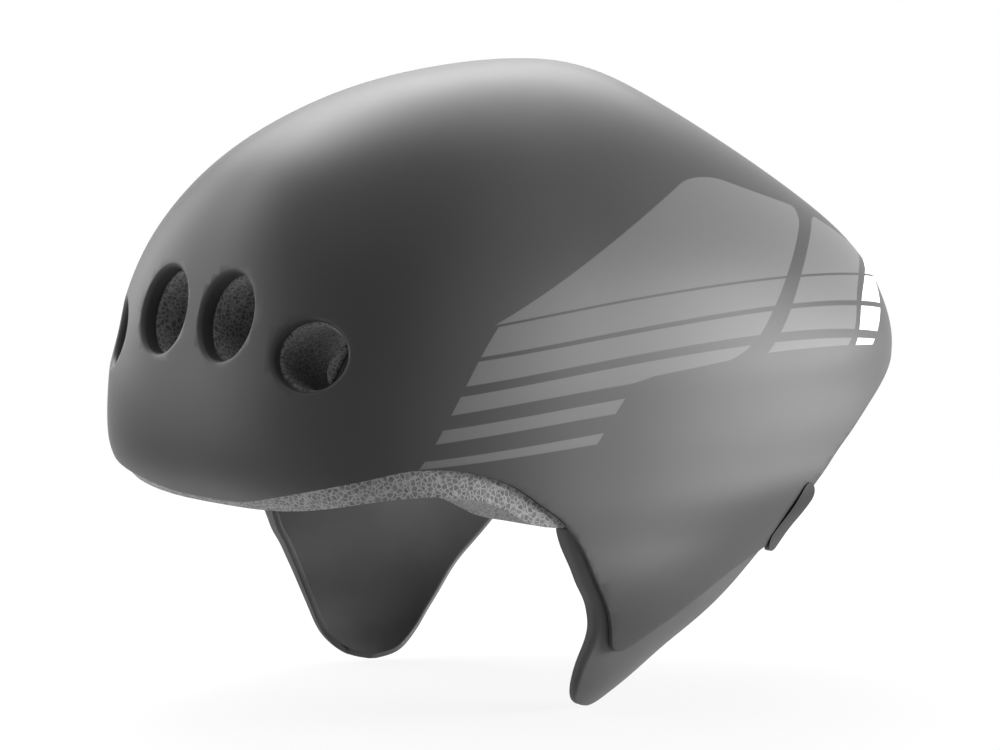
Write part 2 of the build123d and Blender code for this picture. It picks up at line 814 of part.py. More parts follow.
def belt(rack_side):
    """The left belt; its rack runs above the pinion, or below it when rack_side is -1."""
    band = arc_band(
        belt_radius, belt_back, belt_body_angle, belt_end_angle, -belt_half_height, belt_half_height
    )
    low, high = sorted((rack_side * rack_root, rack_side * rack_back))
    spine = arc_band(belt_radius, belt_back, -belt_toe_angle, belt_body_angle + belt_lap_angle, low, high)
    step = tooth_pitch / belt_radius * 180 / pi
    count = int(belt_toe_angle / step)
    last = int(belt_body_angle / step)
    with BuildPart() as rack:
        add(band)
        add(spine)
        for k in range(-count, last):
            with BuildSketch(radial_plane((k + 0.5) * step, belt_radius)):
                with BuildLine():
                    Polyline(
                        (-rack_root_half, -rack_side * (rack_root + run_gap)),
                        (-rack_tip_half, -rack_side * (pitch_radius - rack_addendum)),
                        (rack_tip_half, -rack_side * (pitch_radius - rack_addendum)),
                        (rack_root_half, -rack_side * (rack_root + run_gap)),
                        close=True,
                    )
                make_face()
            extrude(amount=belt_wall)
    return rack.part


left_belt = belt(1)
right_belt_as_left = belt(-1)
with BuildPart() as right_belt:
    mirror(right_belt_as_left, about=Plane.YZ)
finish(left_belt, "left_fit_belt")
finish(right_belt.part, "right_fit_belt")

# dial_pinion: gear, journal and shaft in one, on the nape's radial axis
gear_front = belt_radius - run_gap * 2
gear_back = belt_back + run_gap * 2
housing_front = belt_radius - housing_gap
housing_back = belt_back + housing_gap
back_face = housing_back + housing_back_wall
front_face = housing_front - housing_front_wall
with BuildPart() as dial_pinion:
    with BuildSketch(radial_plane(0, gear_front)):
        Circle(pitch_radius - gear_dedendum)
        with PolarLocations(0, gear_teeth, start_angle=180 / gear_teeth):
            Polygon(
                (0, -tooth_root_half),
                (pitch_radius - gear_dedendum, -tooth_root_half),
                (pitch_radius, -tooth_half),
                (pitch_radius + gear_addendum, -tooth_tip_half),
                (pitch_radius + gear_addendum, tooth_tip_half),
                (pitch_radius, tooth_half),
                (pitch_radius - gear_dedendum, tooth_root_half),
                (0, tooth_root_half),
                align=None,
            )
    extrude(amount=gear_back - gear_front)
    with BuildSketch(radial_plane(0, front_face + run_gap)):
        Circle(journal_radius)
    extrude(amount=gear_front - front_face)
    with BuildSketch(radial_plane(0, gear_back - run_gap)):
        Circle(shaft_radius)
    extrude(amount=back_face + knob_height / 2 - gear_back)
finish(dial_pinion.part, "dial_pinion")

# Dial housing: a curved front plate and a back cover with rims that close round the racks
screw_height = housing_half_height - housing_rim / 2
screw_planes = [
    (radial_plane(sign * screw_angle, front_face), side * screw_height)
    for sign in (1, -1)
    for side in (1, -1)
]


def screw_cylinders(radius, start, length):
    with BuildPart() as cylinders:
        for plane, height in screw_planes:
            with BuildSketch(plane.offset(start)):
                with Locations((0, height)):
                    Circle(radius)
            extrude(amount=length)
    return cylinders.part


screw_length = housing_front_wall + housing_back_wall
screw_holes = screw_cylinders(screw_radius + run_gap, -run_gap, screw_length)
head_seats = screw_cylinders(screw_head_radius + run_gap, -cradle_wall, cradle_wall + screw_head_height)
front_plate = arc_band(
    front_face, housing_front, -housing_angle, housing_angle, -housing_half_height, housing_half_height
)
back_plate = arc_band(
    housing_back, back_face, -housing_angle, housing_angle, -housing_half_height, housing_half_height
)
rims = [
    arc_band(
        housing_front + run_gap, housing_back, -housing_angle, housing_angle,
        *sorted((side * (housing_half_height - housing_rim), side * housing_half_height)),
    )
    for side in (1, -1)
]
with BuildPart() as dial_housing_front:
    add(front_plate)
    add([screw_holes, head_seats], mode=Mode.SUBTRACT)
    with BuildSketch(radial_plane(0, front_face - run_gap)):
        Circle(journal_radius + run_gap)
    extrude(amount=housing_front_wall * 2, mode=Mode.SUBTRACT)
with BuildPart() as dial_housing_back:
    add(back_plate)
    add(rims)
    add(screw_holes, mode=Mode.SUBTRACT)
    with BuildSketch(radial_plane(0, housing_back - housing_gap)):
        Circle(shaft_radius + run_gap)
    extrude(amount=housing_back_wall * 2, mode=Mode.SUBTRACT)
finish(dial_housing_front.part, "dial_housing_front")
finish(dial_housing_back.part, "dial_housing_back")
screw_shanks = screw_cylinders(screw_radius, run_gap, screw_length - 2 * run_gap)
screw_heads = screw_cylinders(screw_head_radius, run_gap, screw_head_height - 2 * run_gap)
with BuildPart() as housing_screws:
    add(screw_shanks)
    add(screw_heads)
finish(housing_screws.part, "housing_screws")

# ratchet_spring: two sprung arms on the housing that click in the knob's inner notches
knob_front = back_face + clip_gap
with BuildPart() as ratchet_spring:
    with BuildSketch(radial_plane(0, back_face + run_gap)):
        Circle(ratchet_radius)
        Circle(ratchet_radius - ratchet_wall, mode=Mode.SUBTRACT)
        with PolarLocations(0, 2):
            Polygon(
                (0, 0), (2 * ratchet_radius, 0), (2 * ratchet_radius, ratchet_radius),
                align=None, mode=Mode.SUBTRACT,
            )
            with Locations((0, -ratchet_radius / 2 - ratchet_wall / 2)):
                Rectangle(ratchet_arm_width, ratchet_radius - ratchet_wall)
        Circle(ratchet_hub)
        Circle(shaft_radius + clip_gap, mode=Mode.SUBTRACT)
    extrude(amount=ratchet_thickness)
finish(ratchet_spring.part, "ratchet_spring")

# dial_knob: scalloped grip over the ratchet
with BuildPart() as dial_knob:
    with BuildSketch(radial_plane(0, knob_front)):
        Circle(knob_radius)
        with PolarLocations(knob_radius + knob_groove / 2, knob_lobes):
            Circle(knob_groove_radius, mode=Mode.SUBTRACT)
    extrude(amount=knob_height)
    chamfer(dial_knob.faces().sort_by(Axis.Y)[-1].edges(), length=knob_groove / 2)
    with BuildSketch(radial_plane(0, knob_front)):
        Circle(knob_recess)
        with PolarLocations(knob_recess - notch_tooth_height, knob_notches):
            Polygon(
                (0, 0),
                (notch_tooth_height + run_gap, notch_tooth_half),
                (notch_tooth_height + run_gap, -notch_tooth_half),
                align=None, mode=Mode.SUBTRACT,
            )
    extrude(amount=knob_recess_depth, mode=Mode.SUBTRACT)
    with BuildSketch(radial_plane(0, knob_front)):
        Circle(shaft_radius + run_gap)
    extrude(amount=knob_bore_depth, mode=Mode.SUBTRACT)
finish(dial_knob.part, "dial_knob")

# nape_cradle: a curved frame with two lobes, and the spine that climbs to the slider clip
cradle_back = front_face - run_gap * 2
cradle_front = cradle_back - cradle_wall
cradle_ring = arc_band(
    cradle_front, cradle_back, -cradle_width, cradle_width,
    -2 * cradle_lobe_radius, 2 * cradle_lobe_radius,
)
with BuildPart() as cradle_outline:
    with BuildSketch(radial_plane(0, 0)):
        RectangleRounded(cradle_width, 2 * housing_half_height, housing_half_height / 2)
        with Locations((cradle_lobe_side, -cradle_lobe_lift), (-cradle_lobe_side, -cradle_lobe_lift)):
            Circle(cradle_lobe_radius)
            Circle(cradle_window, mode=Mode.SUBTRACT)
    extrude(amount=belt_radius)
with BuildPart() as spine:
    with BuildSketch(Plane.YZ.offset(-spine_width / 2)):
        with BuildLine():
            low = belt_plane.from_local_coords((0, cradle_front, 0))
            Polyline(
                (low.Y, low.Z),
                (spine_back - spine_wall, spine_knee),
                (spine_back - spine_wall, spine_top),
                (spine_back, spine_top),
                (spine_back, spine_knee),
                (low.Y + spine_wall, low.Z),
                close=True,
            )
        make_face()
    extrude(amount=spine_width)
housing_seat = arc_band(
    cradle_back, back_face, -housing_angle, housing_angle,
    -housing_half_height - housing_gap, housing_half_height + housing_gap,
)
with BuildPart() as nape_cradle:
    add(cradle_ring)
    add(cradle_outline.part, mode=Mode.INTERSECT)
    add(spine.part)
    add([head_seats, housing_seat], mode=Mode.SUBTRACT)
    with BuildSketch(Plane.XZ.offset(-spine_back - cut_overrun)):
        with Locations(*[(0, spine_top - (k + 1) * spine_hole_pitch) for k in range(spine_holes)]):
            Circle(spine_hole_radius)
    extrude(amount=2 * cut_overrun, mode=Mode.SUBTRACT)
finish(nape_cradle.part, "nape_cradle")

# Cradle pads on the lobes
pad_back = cradle_front - run_gap * 2
cradle_pad_ring = arc_band(
    pad_back - cradle_pad_wall, pad_back, 0, cradle_width, -2 * cradle_lobe_radius, 2 * cradle_lobe_radius
)
with BuildPart() as lobe:
    with BuildSketch(radial_plane(0, 0)):
        with Locations((cradle_lobe_side, -cradle_lobe_lift)):
            Circle(cradle_lobe_radius - cradle_wall / 2)
    extrude(amount=belt_radius)
cradle_pad = inside_of(cradle_pad_ring, lobe.part)
finish_pair(cradle_pad, "cradle_pad")

# slider_clip: rails on the liner's rear wall that the spine runs in
clip_back = spine_back + clip_gap
rail_inner = spine_width / 2 + clip_gap
rail_outer = rail_inner + clip_rail - clip_gap
lip_back = spine_back - spine_wall - clip_gap
with BuildPart() as slider_clip:
    with BuildSketch(Plane.XY.offset(clip_low)):
        with Locations((0, clip_back)):
            Rectangle(2 * rail_outer, clip_wall, align=(Align.CENTER, Align.MIN))
        for side in (1, -1):
            with Locations((side * (rail_inner + rail_outer) / 2, lip_back - clip_lip)):
                Rectangle(
                    rail_outer - rail_inner, clip_back - lip_back + clip_lip + run_gap,
                    align=(Align.CENTER, Align.MIN),
                )
            with Locations((side * (rail_outer - clip_rail), lip_back - clip_lip)):
                Rectangle(2 * clip_rail, clip_lip, align=(Align.CENTER, Align.MIN))
    extrude(amount=clip_high - clip_low)
    with BuildSketch(Plane.XZ.offset(-clip_back - clip_wall + run_gap)):
        with Locations(*[(0, clip_low + share * (clip_high - clip_low)) for share in peg_height_shares]):
            Circle(peg_radius)
    extrude(amount=-peg_length)
finish(slider_clip.part, "slider_clip")

# Temple keepers: brackets that the belts run behind
keeper_y = belt_centre[1]
keeper_side = belt_radius - keeper_gap
keeper_out = head_half_width + keeper_peg
with BuildPart() as keeper:
    with BuildSketch(Plane.XZ.offset(-keeper_y - keeper_width / 2)):
        with Locations((keeper_side - keeper_wall, keeper_low)):
            Rectangle(keeper_wall, keeper_high - keeper_low, align=(Align.MIN, Align.MIN))
        for height in (keeper_low, keeper_high - keeper_wall):
            with Locations((keeper_side - keeper_wall, height)):
                Rectangle(keeper_out - keeper_side, keeper_wall, align=(Align.MIN, Align.MIN))
    extrude(amount=keeper_width)
finish_pair(keeper.part, "temple_keeper")
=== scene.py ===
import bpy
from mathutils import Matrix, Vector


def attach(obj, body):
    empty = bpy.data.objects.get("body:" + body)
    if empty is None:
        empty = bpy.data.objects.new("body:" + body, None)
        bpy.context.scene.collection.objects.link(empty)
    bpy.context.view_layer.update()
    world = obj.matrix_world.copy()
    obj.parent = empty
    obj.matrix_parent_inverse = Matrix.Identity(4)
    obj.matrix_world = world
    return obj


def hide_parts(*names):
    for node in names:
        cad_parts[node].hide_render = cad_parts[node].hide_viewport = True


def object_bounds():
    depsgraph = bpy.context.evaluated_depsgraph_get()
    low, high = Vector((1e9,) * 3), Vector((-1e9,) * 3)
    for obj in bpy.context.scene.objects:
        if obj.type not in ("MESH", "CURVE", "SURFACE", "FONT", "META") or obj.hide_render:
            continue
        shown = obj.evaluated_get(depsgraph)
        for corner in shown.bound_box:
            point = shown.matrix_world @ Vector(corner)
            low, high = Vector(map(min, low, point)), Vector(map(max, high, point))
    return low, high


bl_info = {
    "name": "Aero Time Trial Helmet",
    "version": (1, 0, 0),
    "blender": (4, 5, 0),
    "location": "View3D > Sidebar > Helmet",
    "description": "Shell, foam, flaps, pads, webbing and finishes of a long-tail helmet",
    "category": "Object",
}

import math

import bmesh
import bpy
from mathutils import Matrix, Vector

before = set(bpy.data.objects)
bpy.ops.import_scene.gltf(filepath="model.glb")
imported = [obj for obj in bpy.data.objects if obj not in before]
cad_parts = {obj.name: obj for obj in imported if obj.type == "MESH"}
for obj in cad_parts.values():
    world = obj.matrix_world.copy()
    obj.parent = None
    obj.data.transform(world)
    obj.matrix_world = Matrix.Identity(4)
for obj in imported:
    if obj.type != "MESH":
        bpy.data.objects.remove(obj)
cad_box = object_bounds()
MM = 0.001
EDGE_ANGLE = 40.0

# Outer form of the helmet in millimetres, close to the frame's: reaches and level shares.
# Each level: height, nose, widest place, tail, width, and the powers of its front and rear curves
FRONT_REACH = 133.5
TAIL_REACH = 213.0
HALF_WIDTH = 106.5
CROWN_HEIGHT = 155.0
FLAP_DROP = 106.0
APEX_SHARE = 0.147
LEVEL_SHARES = (
    (-0.981, 0.285, 0.009, 0.160, 0.638, 2.20, 2.00),
    (-0.906, 0.345, 0.000, 0.216, 0.723, 2.20, 2.00),
    (-0.821, 0.404, -0.014, 0.291, 0.817, 2.30, 2.00),
    (-0.708, 0.479, -0.038, 0.413, 0.892, 2.30, 2.00),
    (-0.566, 0.554, -0.056, 0.559, 0.985, 2.40, 2.00),
    (-0.396, 0.644, -0.070, 0.714, 1.020, 2.50, 2.00),
    (-0.264, 0.749, -0.066, 0.854, 1.016, 2.70, 2.05),
    (-0.142, 0.861, -0.052, 0.967, 1.012, 3.00, 2.10),
    (-0.028, 0.959, -0.033, 0.991, 1.006, 3.10, 2.10),
    (0.065, 0.996, -0.019, 0.998, 1.002, 3.10, 2.10),
    (0.168, 0.995, -0.014, 1.000, 1.000, 3.10, 2.10),
    (0.284, 0.973, -0.010, 0.998, 0.995, 3.10, 2.10),
    (0.470, 0.921, -0.005, 0.917, 0.947, 2.91, 2.08),
    (0.642, 0.823, 0.011, 0.750, 0.823, 2.72, 2.05),
    (0.790, 0.653, 0.036, 0.564, 0.649, 2.53, 2.03),
    (0.904, 0.403, 0.069, 0.409, 0.450, 2.35, 2.01),
    (0.965, 0.155, 0.099, 0.311, 0.281, 2.20, 2.00),
    (0.993, -0.065, 0.125, 0.230, 0.131, 2.07, 2.00),
)
SHELL_EDGE_SHARES = (
    (-0.891, -0.113), (-0.912, -0.057), (-0.864, -0.006), (-0.770, 0.023), (-0.700, 0.037),
    (-0.594, 0.036), (-0.476, 0.014), (-0.382, -0.029), (-0.300, -0.099), (-0.217, -0.177),
    (-0.156, -0.288), (-0.130, -0.358), (-0.086, -0.453), (-0.055, -0.530), (-0.028, -0.604),
    (0.000, -0.650), (0.028, -0.664), (0.068, -0.622), (0.110, -0.578), (0.155, -0.535),
    (0.204, -0.492), (0.254, -0.449), (0.305, -0.410), (0.360, -0.376), (0.415, -0.338),
    (0.453, -0.285), (0.496, -0.175), (0.550, -0.086), (0.597, -0.019), (0.652, 0.032),
    (0.732, 0.094), (0.834, 0.155), (0.900, 0.190), (1.000, 0.239),
)
FLAP_FRONT_SHARES = (
    (-0.202, -0.192), (-0.187, -0.264), (-0.160, -0.340), (-0.142, -0.396), (-0.114, -0.453),
    (-0.096, -0.509), (-0.082, -0.566), (-0.075, -0.642), (-0.071, -0.717), (-0.060, -0.792),
    (-0.032, -0.849), (0.007, -0.884), (0.047, -0.901),
)
FLAP_REAR_SHARES = (
    (0.047, -0.901), (0.087, -0.885), (0.122, -0.849), (0.160, -0.792), (0.192, -0.736),
    (0.244, -0.651), (0.296, -0.566), (0.350, -0.481), (0.399, -0.396), (0.437, -0.316),
    (0.458, -0.226),
)
FLAP_GAP, FLAP_TOP, FLAP_CLOSE = 0.6, -19.3, 0.97
FLANGE_DEPTH, FLANGE_FALL, FLANGE_END, FLANGE_RUNOUT = 9.4, 0.65, 2.5, 11.0
CURL_RADIUS = 4.5
VENT_PLACES = ((21.0, 60.3, 16.9, 15.6), (65.0, 48.3, 13.4, 15.0))
VENT_LIP, LIP_LIFT, BORE_REACH = 2.2, 0.12, (-20.0, 12.0)
VENT_COLLAR = (2.4, 7.0)
RIM_ANGLE, WELD_ANGLE = 50.0, 0.8
TAB_CENTRE, TAB_SIZE, TAB_SLANT = (98.4, -26.5), (32.3, 9.3), math.radians(50.0)
SHELL_GRID, SHELL_LOW = (176, 112), 2.6

# Where the cutting tools end, clear of the helmet, and where a notch's tool starts beside it
BEFORE, BEHIND, ABOVE, BESIDE, NOTCH_NEAR = -200.0, 300.0, 200.0, 140.0, 60.0

# The head space and what lines it: half sizes, insets from its wall, sizes and side-view places
HEAD_HALF = (78.0, 100.0, 118.0)
PAD_BACK, PAD_FRONT = 1.2, 5.8
BROW_PAD = (52.0, 12.0, 0.85)
BROW_HEIGHT = 10.0
CROWN_PAD = (28.0, 18.0, 0.62)
CROWN_PLACES = {"front_crown_pad": -42.0, "rear_crown_pad": 52.0}
TEMPLE_PAD = (15.0, 12.0, 0.8)
TEMPLE_PLACE = (-52.0, 24.0)
CRADLE_PAD = (10.9, 10.9, 1.0)
CRADLE_BACK, CRADLE_WALL = 66.2, 3.9
CRADLE_PLACE = (30.0, 4.0)
BELT_CENTRE, BELT_TILT = (0.0, 23.3, -9.0), math.radians(22.0)
WEBBING_WIDTH, WEBBING_INSET, WEBBING_EDGE = 14.8, 0.9, 0.25
STRAP_FEET = {"front_strap": (-20.0, -6.0), "rear_strap": (50.0, 8.0)}
STRAP_FORK = (6.0, 46.0)
STRAP_GAP = 0.15
CHIN_FOOT, CHIN_TURN, CHIN_STEPS = 53.5, math.radians(64.2), 32
BUCKLE_LOOP = (104.9, 100.5, 18.4)
BUCKLE_RUNS = ((30.0, 26.0), (26.0, 31.0, 36.8))

# Studio, in metres: the floor, the camera's target and shift, and each lamp's place and size
FLOOR_RADIUS, FLOOR_GAP, FLOOR_BRIGHT = 0.75, 0.0005, 0.88
CAMERA_TARGET, CAMERA_SHIFT = (0.0, 0.018, 0.030), (0.007, -0.0045)
LAMPS = {
    "far_top": ((-0.88, 0.6, 1.15), (1.5, 1.0)),
    "near_rear": ((1.15, 1.5, 0.1), (1.0, 1.2)),
    "low_rear": ((0.65, 1.25, -0.02), (1.2, 0.14)),
    "far_nose": ((-1.35, -0.35, 0.55), (0.8, 1.0)),
    "front": ((-1.1, -1.3, 0.3), (1.0, 1.0)),
    "overhead": ((0.1, -0.5, 1.5), (1.2, 1.2)),
}


def side_points(shares):
    """Side-view points (y, z) in millimetres from shares of the reaches."""
    return [
        (
            y_share * (FRONT_REACH if y_share < 0 else TAIL_REACH),
            z_share * (FLAP_DROP if z_share < 0 else CROWN_HEIGHT),
        )
        for y_share, z_share in shares
    ]


class Curve:
    """A natural cubic through rows of numbers, one row for each whole number."""

    def __init__(self, rows):
        self.rows = rows
        last = len(rows) - 1
        self.bends = [[0.0] * len(rows[0]) for _ in rows]
        for column in range(len(rows[0])):
            factors = [0.0] * (last + 1)
            rests = [0.0] * (last + 1)
            for i in range(1, last):
                turn = rows[i + 1][column] - 2 * rows[i][column] + rows[i - 1][column]
                pivot = 4.0 - factors[i - 1]
                factors[i] = 1.0 / pivot
                rests[i] = (6.0 * turn - rests[i - 1]) / pivot
            for i in range(last - 1, 0, -1):
                self.bends[i][column] = rests[i] - factors[i] * self.bends[i + 1][column]

    def at(self, place):
        """The row at a place between the whole numbers."""
        i = min(max(int(place), 0), len(self.rows) - 2)
        b = place - i
        a = 1 - b
        return [
            a * p + b * q + ((a ** 3 - a) * u + (b ** 3 - b) * v) / 6
            for p, q, u, v in zip(self.rows[i], self.rows[i + 1], self.bends[i], self.bends[i + 1])
        ]


class OuterForm:
    """The helmet's outer form, moved in by inset millimetres all round."""

    def __init__(self, inset=0.0):
        rows = []
        for height, nose, wide, tail, width, front_power, rear_power in LEVEL_SHARES:
            rows.append((
                height * ((FLAP_DROP if height < 0 else CROWN_HEIGHT) - inset),
                -nose * (FRONT_REACH - inset),
                wide * TAIL_REACH,
                tail * (TAIL_REACH - inset),
                width * (HALF_WIDTH - inset),
                front_power,
                rear_power,
            ))
        apex = APEX_SHARE * TAIL_REACH
        rows.append((CROWN_HEIGHT - inset, apex, apex, apex, 0.0, 2.0, 2.0))
        height, nose, wide, tail, width, front_power, rear_power = rows[-2]
        rows.append((height, tail, 2 * apex - wide, nose, -width, front_power, rear_power))
        self.curve = Curve(rows)
        self.top = len(rows) - 2

    def level_at(self, height):
        """The level's row at a height, found by halving."""
        low, high = 0.0, float(self.top)
        for _ in range(40):
            middle = (low + high) / 2
            if self.curve.at(middle)[0] < height:
                low = middle
            else:
                high = middle
        return self.curve.at((low + high) / 2)

    def side(self, y, z):
        """How far out the left side stands at a place in the side view."""
        _, nose, wide, tail, width, front_power, rear_power = self.level_at(z)
        if y < wide:
            share = min(1.0, (wide - y) / (wide - nose))
            return width * (1 - share ** front_power) ** (1 / front_power)
        share = min(1.0, (y - wide) / (tail - wide))
        return width * math.sqrt(max(0.0, 1 - share ** rear_power))

    def ring_point(self, turn, place):
        """A point of the level at a place; turn runs from the nose (0) to the tail (1)."""
        z, nose, wide, tail, width, front_power, rear_power = self.curve.at(place)
        if turn < 0.5:
            angle = turn * math.pi
            across, along = math.sin(angle), math.cos(angle)
            reach = (across ** front_power + along ** front_power) ** (-1 / front_power)
            return Vector((width * across * reach, wide - (wide - nose) * along * reach, z))
        share = math.sin((turn - 0.5) * math.pi)
        x = width * math.sqrt(max(0.0, 1 - share ** rear_power))
        return Vector((x, wide + (tail - wide) * share, z))


def smooth_line(shares, steps=8):
    """A dense side-view line through an outline's points."""
    curve = Curve(side_points(shares))
    count = (len(shares) - 1) * steps
    return [curve.at(k / steps) for k in range(count + 1)]


def operate(operation, turned=False):
    """The method that adds a Math node for a value and another; turned is the reflected form."""

    def combine(value, other):
        first, second = (other, value) if turned else (value, other)
        return value.shader.maths(operation, first, second)

    return combine


class Value:
    """A shader value for Python sums: each sum adds the Math node that works it out."""

    def __init__(self, shader, socket):
        self.shader = shader
        self.socket = socket

    __add__, __radd__ = operate("ADD"), operate("ADD", turned=True)
    __sub__, __rsub__ = operate("SUBTRACT"), operate("SUBTRACT", turned=True)
    __mul__, __rmul__ = operate("MULTIPLY"), operate("MULTIPLY", turned=True)
    __truediv__ = operate("DIVIDE")

    def __abs__(self):
        return self.shader.maths("ABSOLUTE", self)


SOCKETS = {"specular": "Specular IOR Level", "sheen": "Sheen Weight", "metallic": "Metallic"}


class Nodes:
    """The cleared node tree of a material or a world."""

    def __init__(self, block):
        block.use_nodes = True
        self.tree = block.node_tree
        self.tree.nodes.clear()

    def add(self, kind, settings=None, **sockets):
        """Adds a node: its settings first, then its sockets' values or links."""
        node = self.tree.nodes.new(kind)
        for name, value in (settings or {}).items():
            if name == "stops":
                ramp = node.color_ramp.elements
                while len(ramp) < len(value):
                    ramp.new(1.0)
                for stop, (place, shade) in zip(ramp, value):
                    stop.position = place
                    stop.color = (shade, shade, shade, 1.0)
            else:
                setattr(node, name, value)
        for name, value in sockets.items():
            socket = node.inputs[int(name[1:])] if name[0] == "_" else node.inputs[name]
            self.feed(socket, value)
        return node

    def feed(self, socket, value):
        """Links a value or a socket, or sets a number or a colour."""
        if isinstance(value, Value):
            self.tree.links.new(value.socket, socket)
        elif isinstance(value, bpy.types.NodeSocket):
            self.tree.links.new(value, socket)
        else:
            socket.default_value = value

    def maths(self, operation, first, second=0.0):
        node = self.add("ShaderNodeMath", {"operation": operation}, _0=first, _1=second)
        return Value(self, node.outputs[0])

    def lesser(self, first, second):
        return self.maths("MINIMUM", first, second)

    def greater(self, first, second):
        return self.maths("MAXIMUM", first, second)

    def step(self, distance, blur=0.35):
        """1 where a distance is positive, 0 where it is negative, soft over blur."""
        clamped = {"operation": "ADD", "use_clamp": True}
        node = self.add("ShaderNodeMath", clamped, _0=distance / blur, _1=0.5)
        return Value(self, node.outputs[0])

    def backdrop(self, share, lit, shown):
        """Shows a shader to the camera, to gloss and through glass, and lights with another."""
        rays = self.add("ShaderNodeLightPath").outputs
        seen = self.greater(Value(self, rays["Is Camera Ray"]), Value(self, rays["Is Glossy Ray"]))
        seen = self.greater(seen, Value(self, rays["Is Transmission Ray"]))
        blend = self.add("ShaderNodeMixShader", None, _0=seen * share, _1=lit, _2=shown)
        return blend.outputs[0]


class Shader(Nodes):
    """One procedural material on the Principled shader."""

    def __init__(self, name, roughness, **sockets):
        self.material = bpy.data.materials.new(name)
        super().__init__(self.material)
        gloss = {SOCKETS[short]: value for short, value in sockets.items()}
        self.surface = self.add("ShaderNodeBsdfPrincipled", None, Roughness=roughness, **gloss)
        self.output = self.add("ShaderNodeOutputMaterial", None, Surface=self.surface.outputs[0])

    def place(self):
        """Object coordinates in millimetres: x, y and z."""
        texture = self.add("ShaderNodeTexCoord")
        scale = {"operation": "SCALE"}
        scaled = self.add("ShaderNodeVectorMath", scale, _0=texture.outputs["Object"], Scale=1 / MM)
        split = self.add("ShaderNodeSeparateXYZ", None, _0=scaled.outputs[0])
        self.points = scaled.outputs[0]
        return [Value(self, socket) for socket in split.outputs]

    def noise(self, scale, detail=3.0, roughness=0.55):
        """Soft noise over the millimetre coordinates, from 0 to 1."""
        kind = "ShaderNodeTexNoise"
        graded = {"Scale": scale, "Detail": detail, "Roughness": roughness}
        return Value(self, self.add(kind, None, Vector=self.points, **graded).outputs["Fac"])

    def mix(self, factor, first, second):
        """A colour between two colours."""
        node = self.add("ShaderNodeMix", {"data_type": "RGBA"}, _0=factor, _6=first, _7=second)
        return node.outputs[2]

    def bump(self, height, distance, strength=1.0):
        """Raises the surface by height times distance, in metres."""
        node = self.add("ShaderNodeBump", None, Height=height, Distance=distance, Strength=strength)
        self.feed(self.surface.inputs["Normal"], node.outputs[0])

    def colour(self, value):
        self.feed(self.surface.inputs["Base Color"], value)

    def rough(self, value):
        self.feed(self.surface.inputs["Roughness"], value)


def grey(level, tint=1.0):
    """A neutral colour, a little cooler with a tint over 1."""
    return (level, level, level * tint, 1.0)


def curve_sum(value, *factors):
    """A polynomial of a shader value, lowest power first."""
    total = factors[-1]
    for factor in reversed(factors[:-1]):
        total = value * total + factor
    return total


def rounded(shader, first, second, radius):
    """The distance inside two edges, with a round corner where they meet."""
    a = shader.greater(radius - first, 0.0)
    b = shader.greater(radius - second, 0.0)
    return radius - shader.maths("SQRT", a * a + b * b)


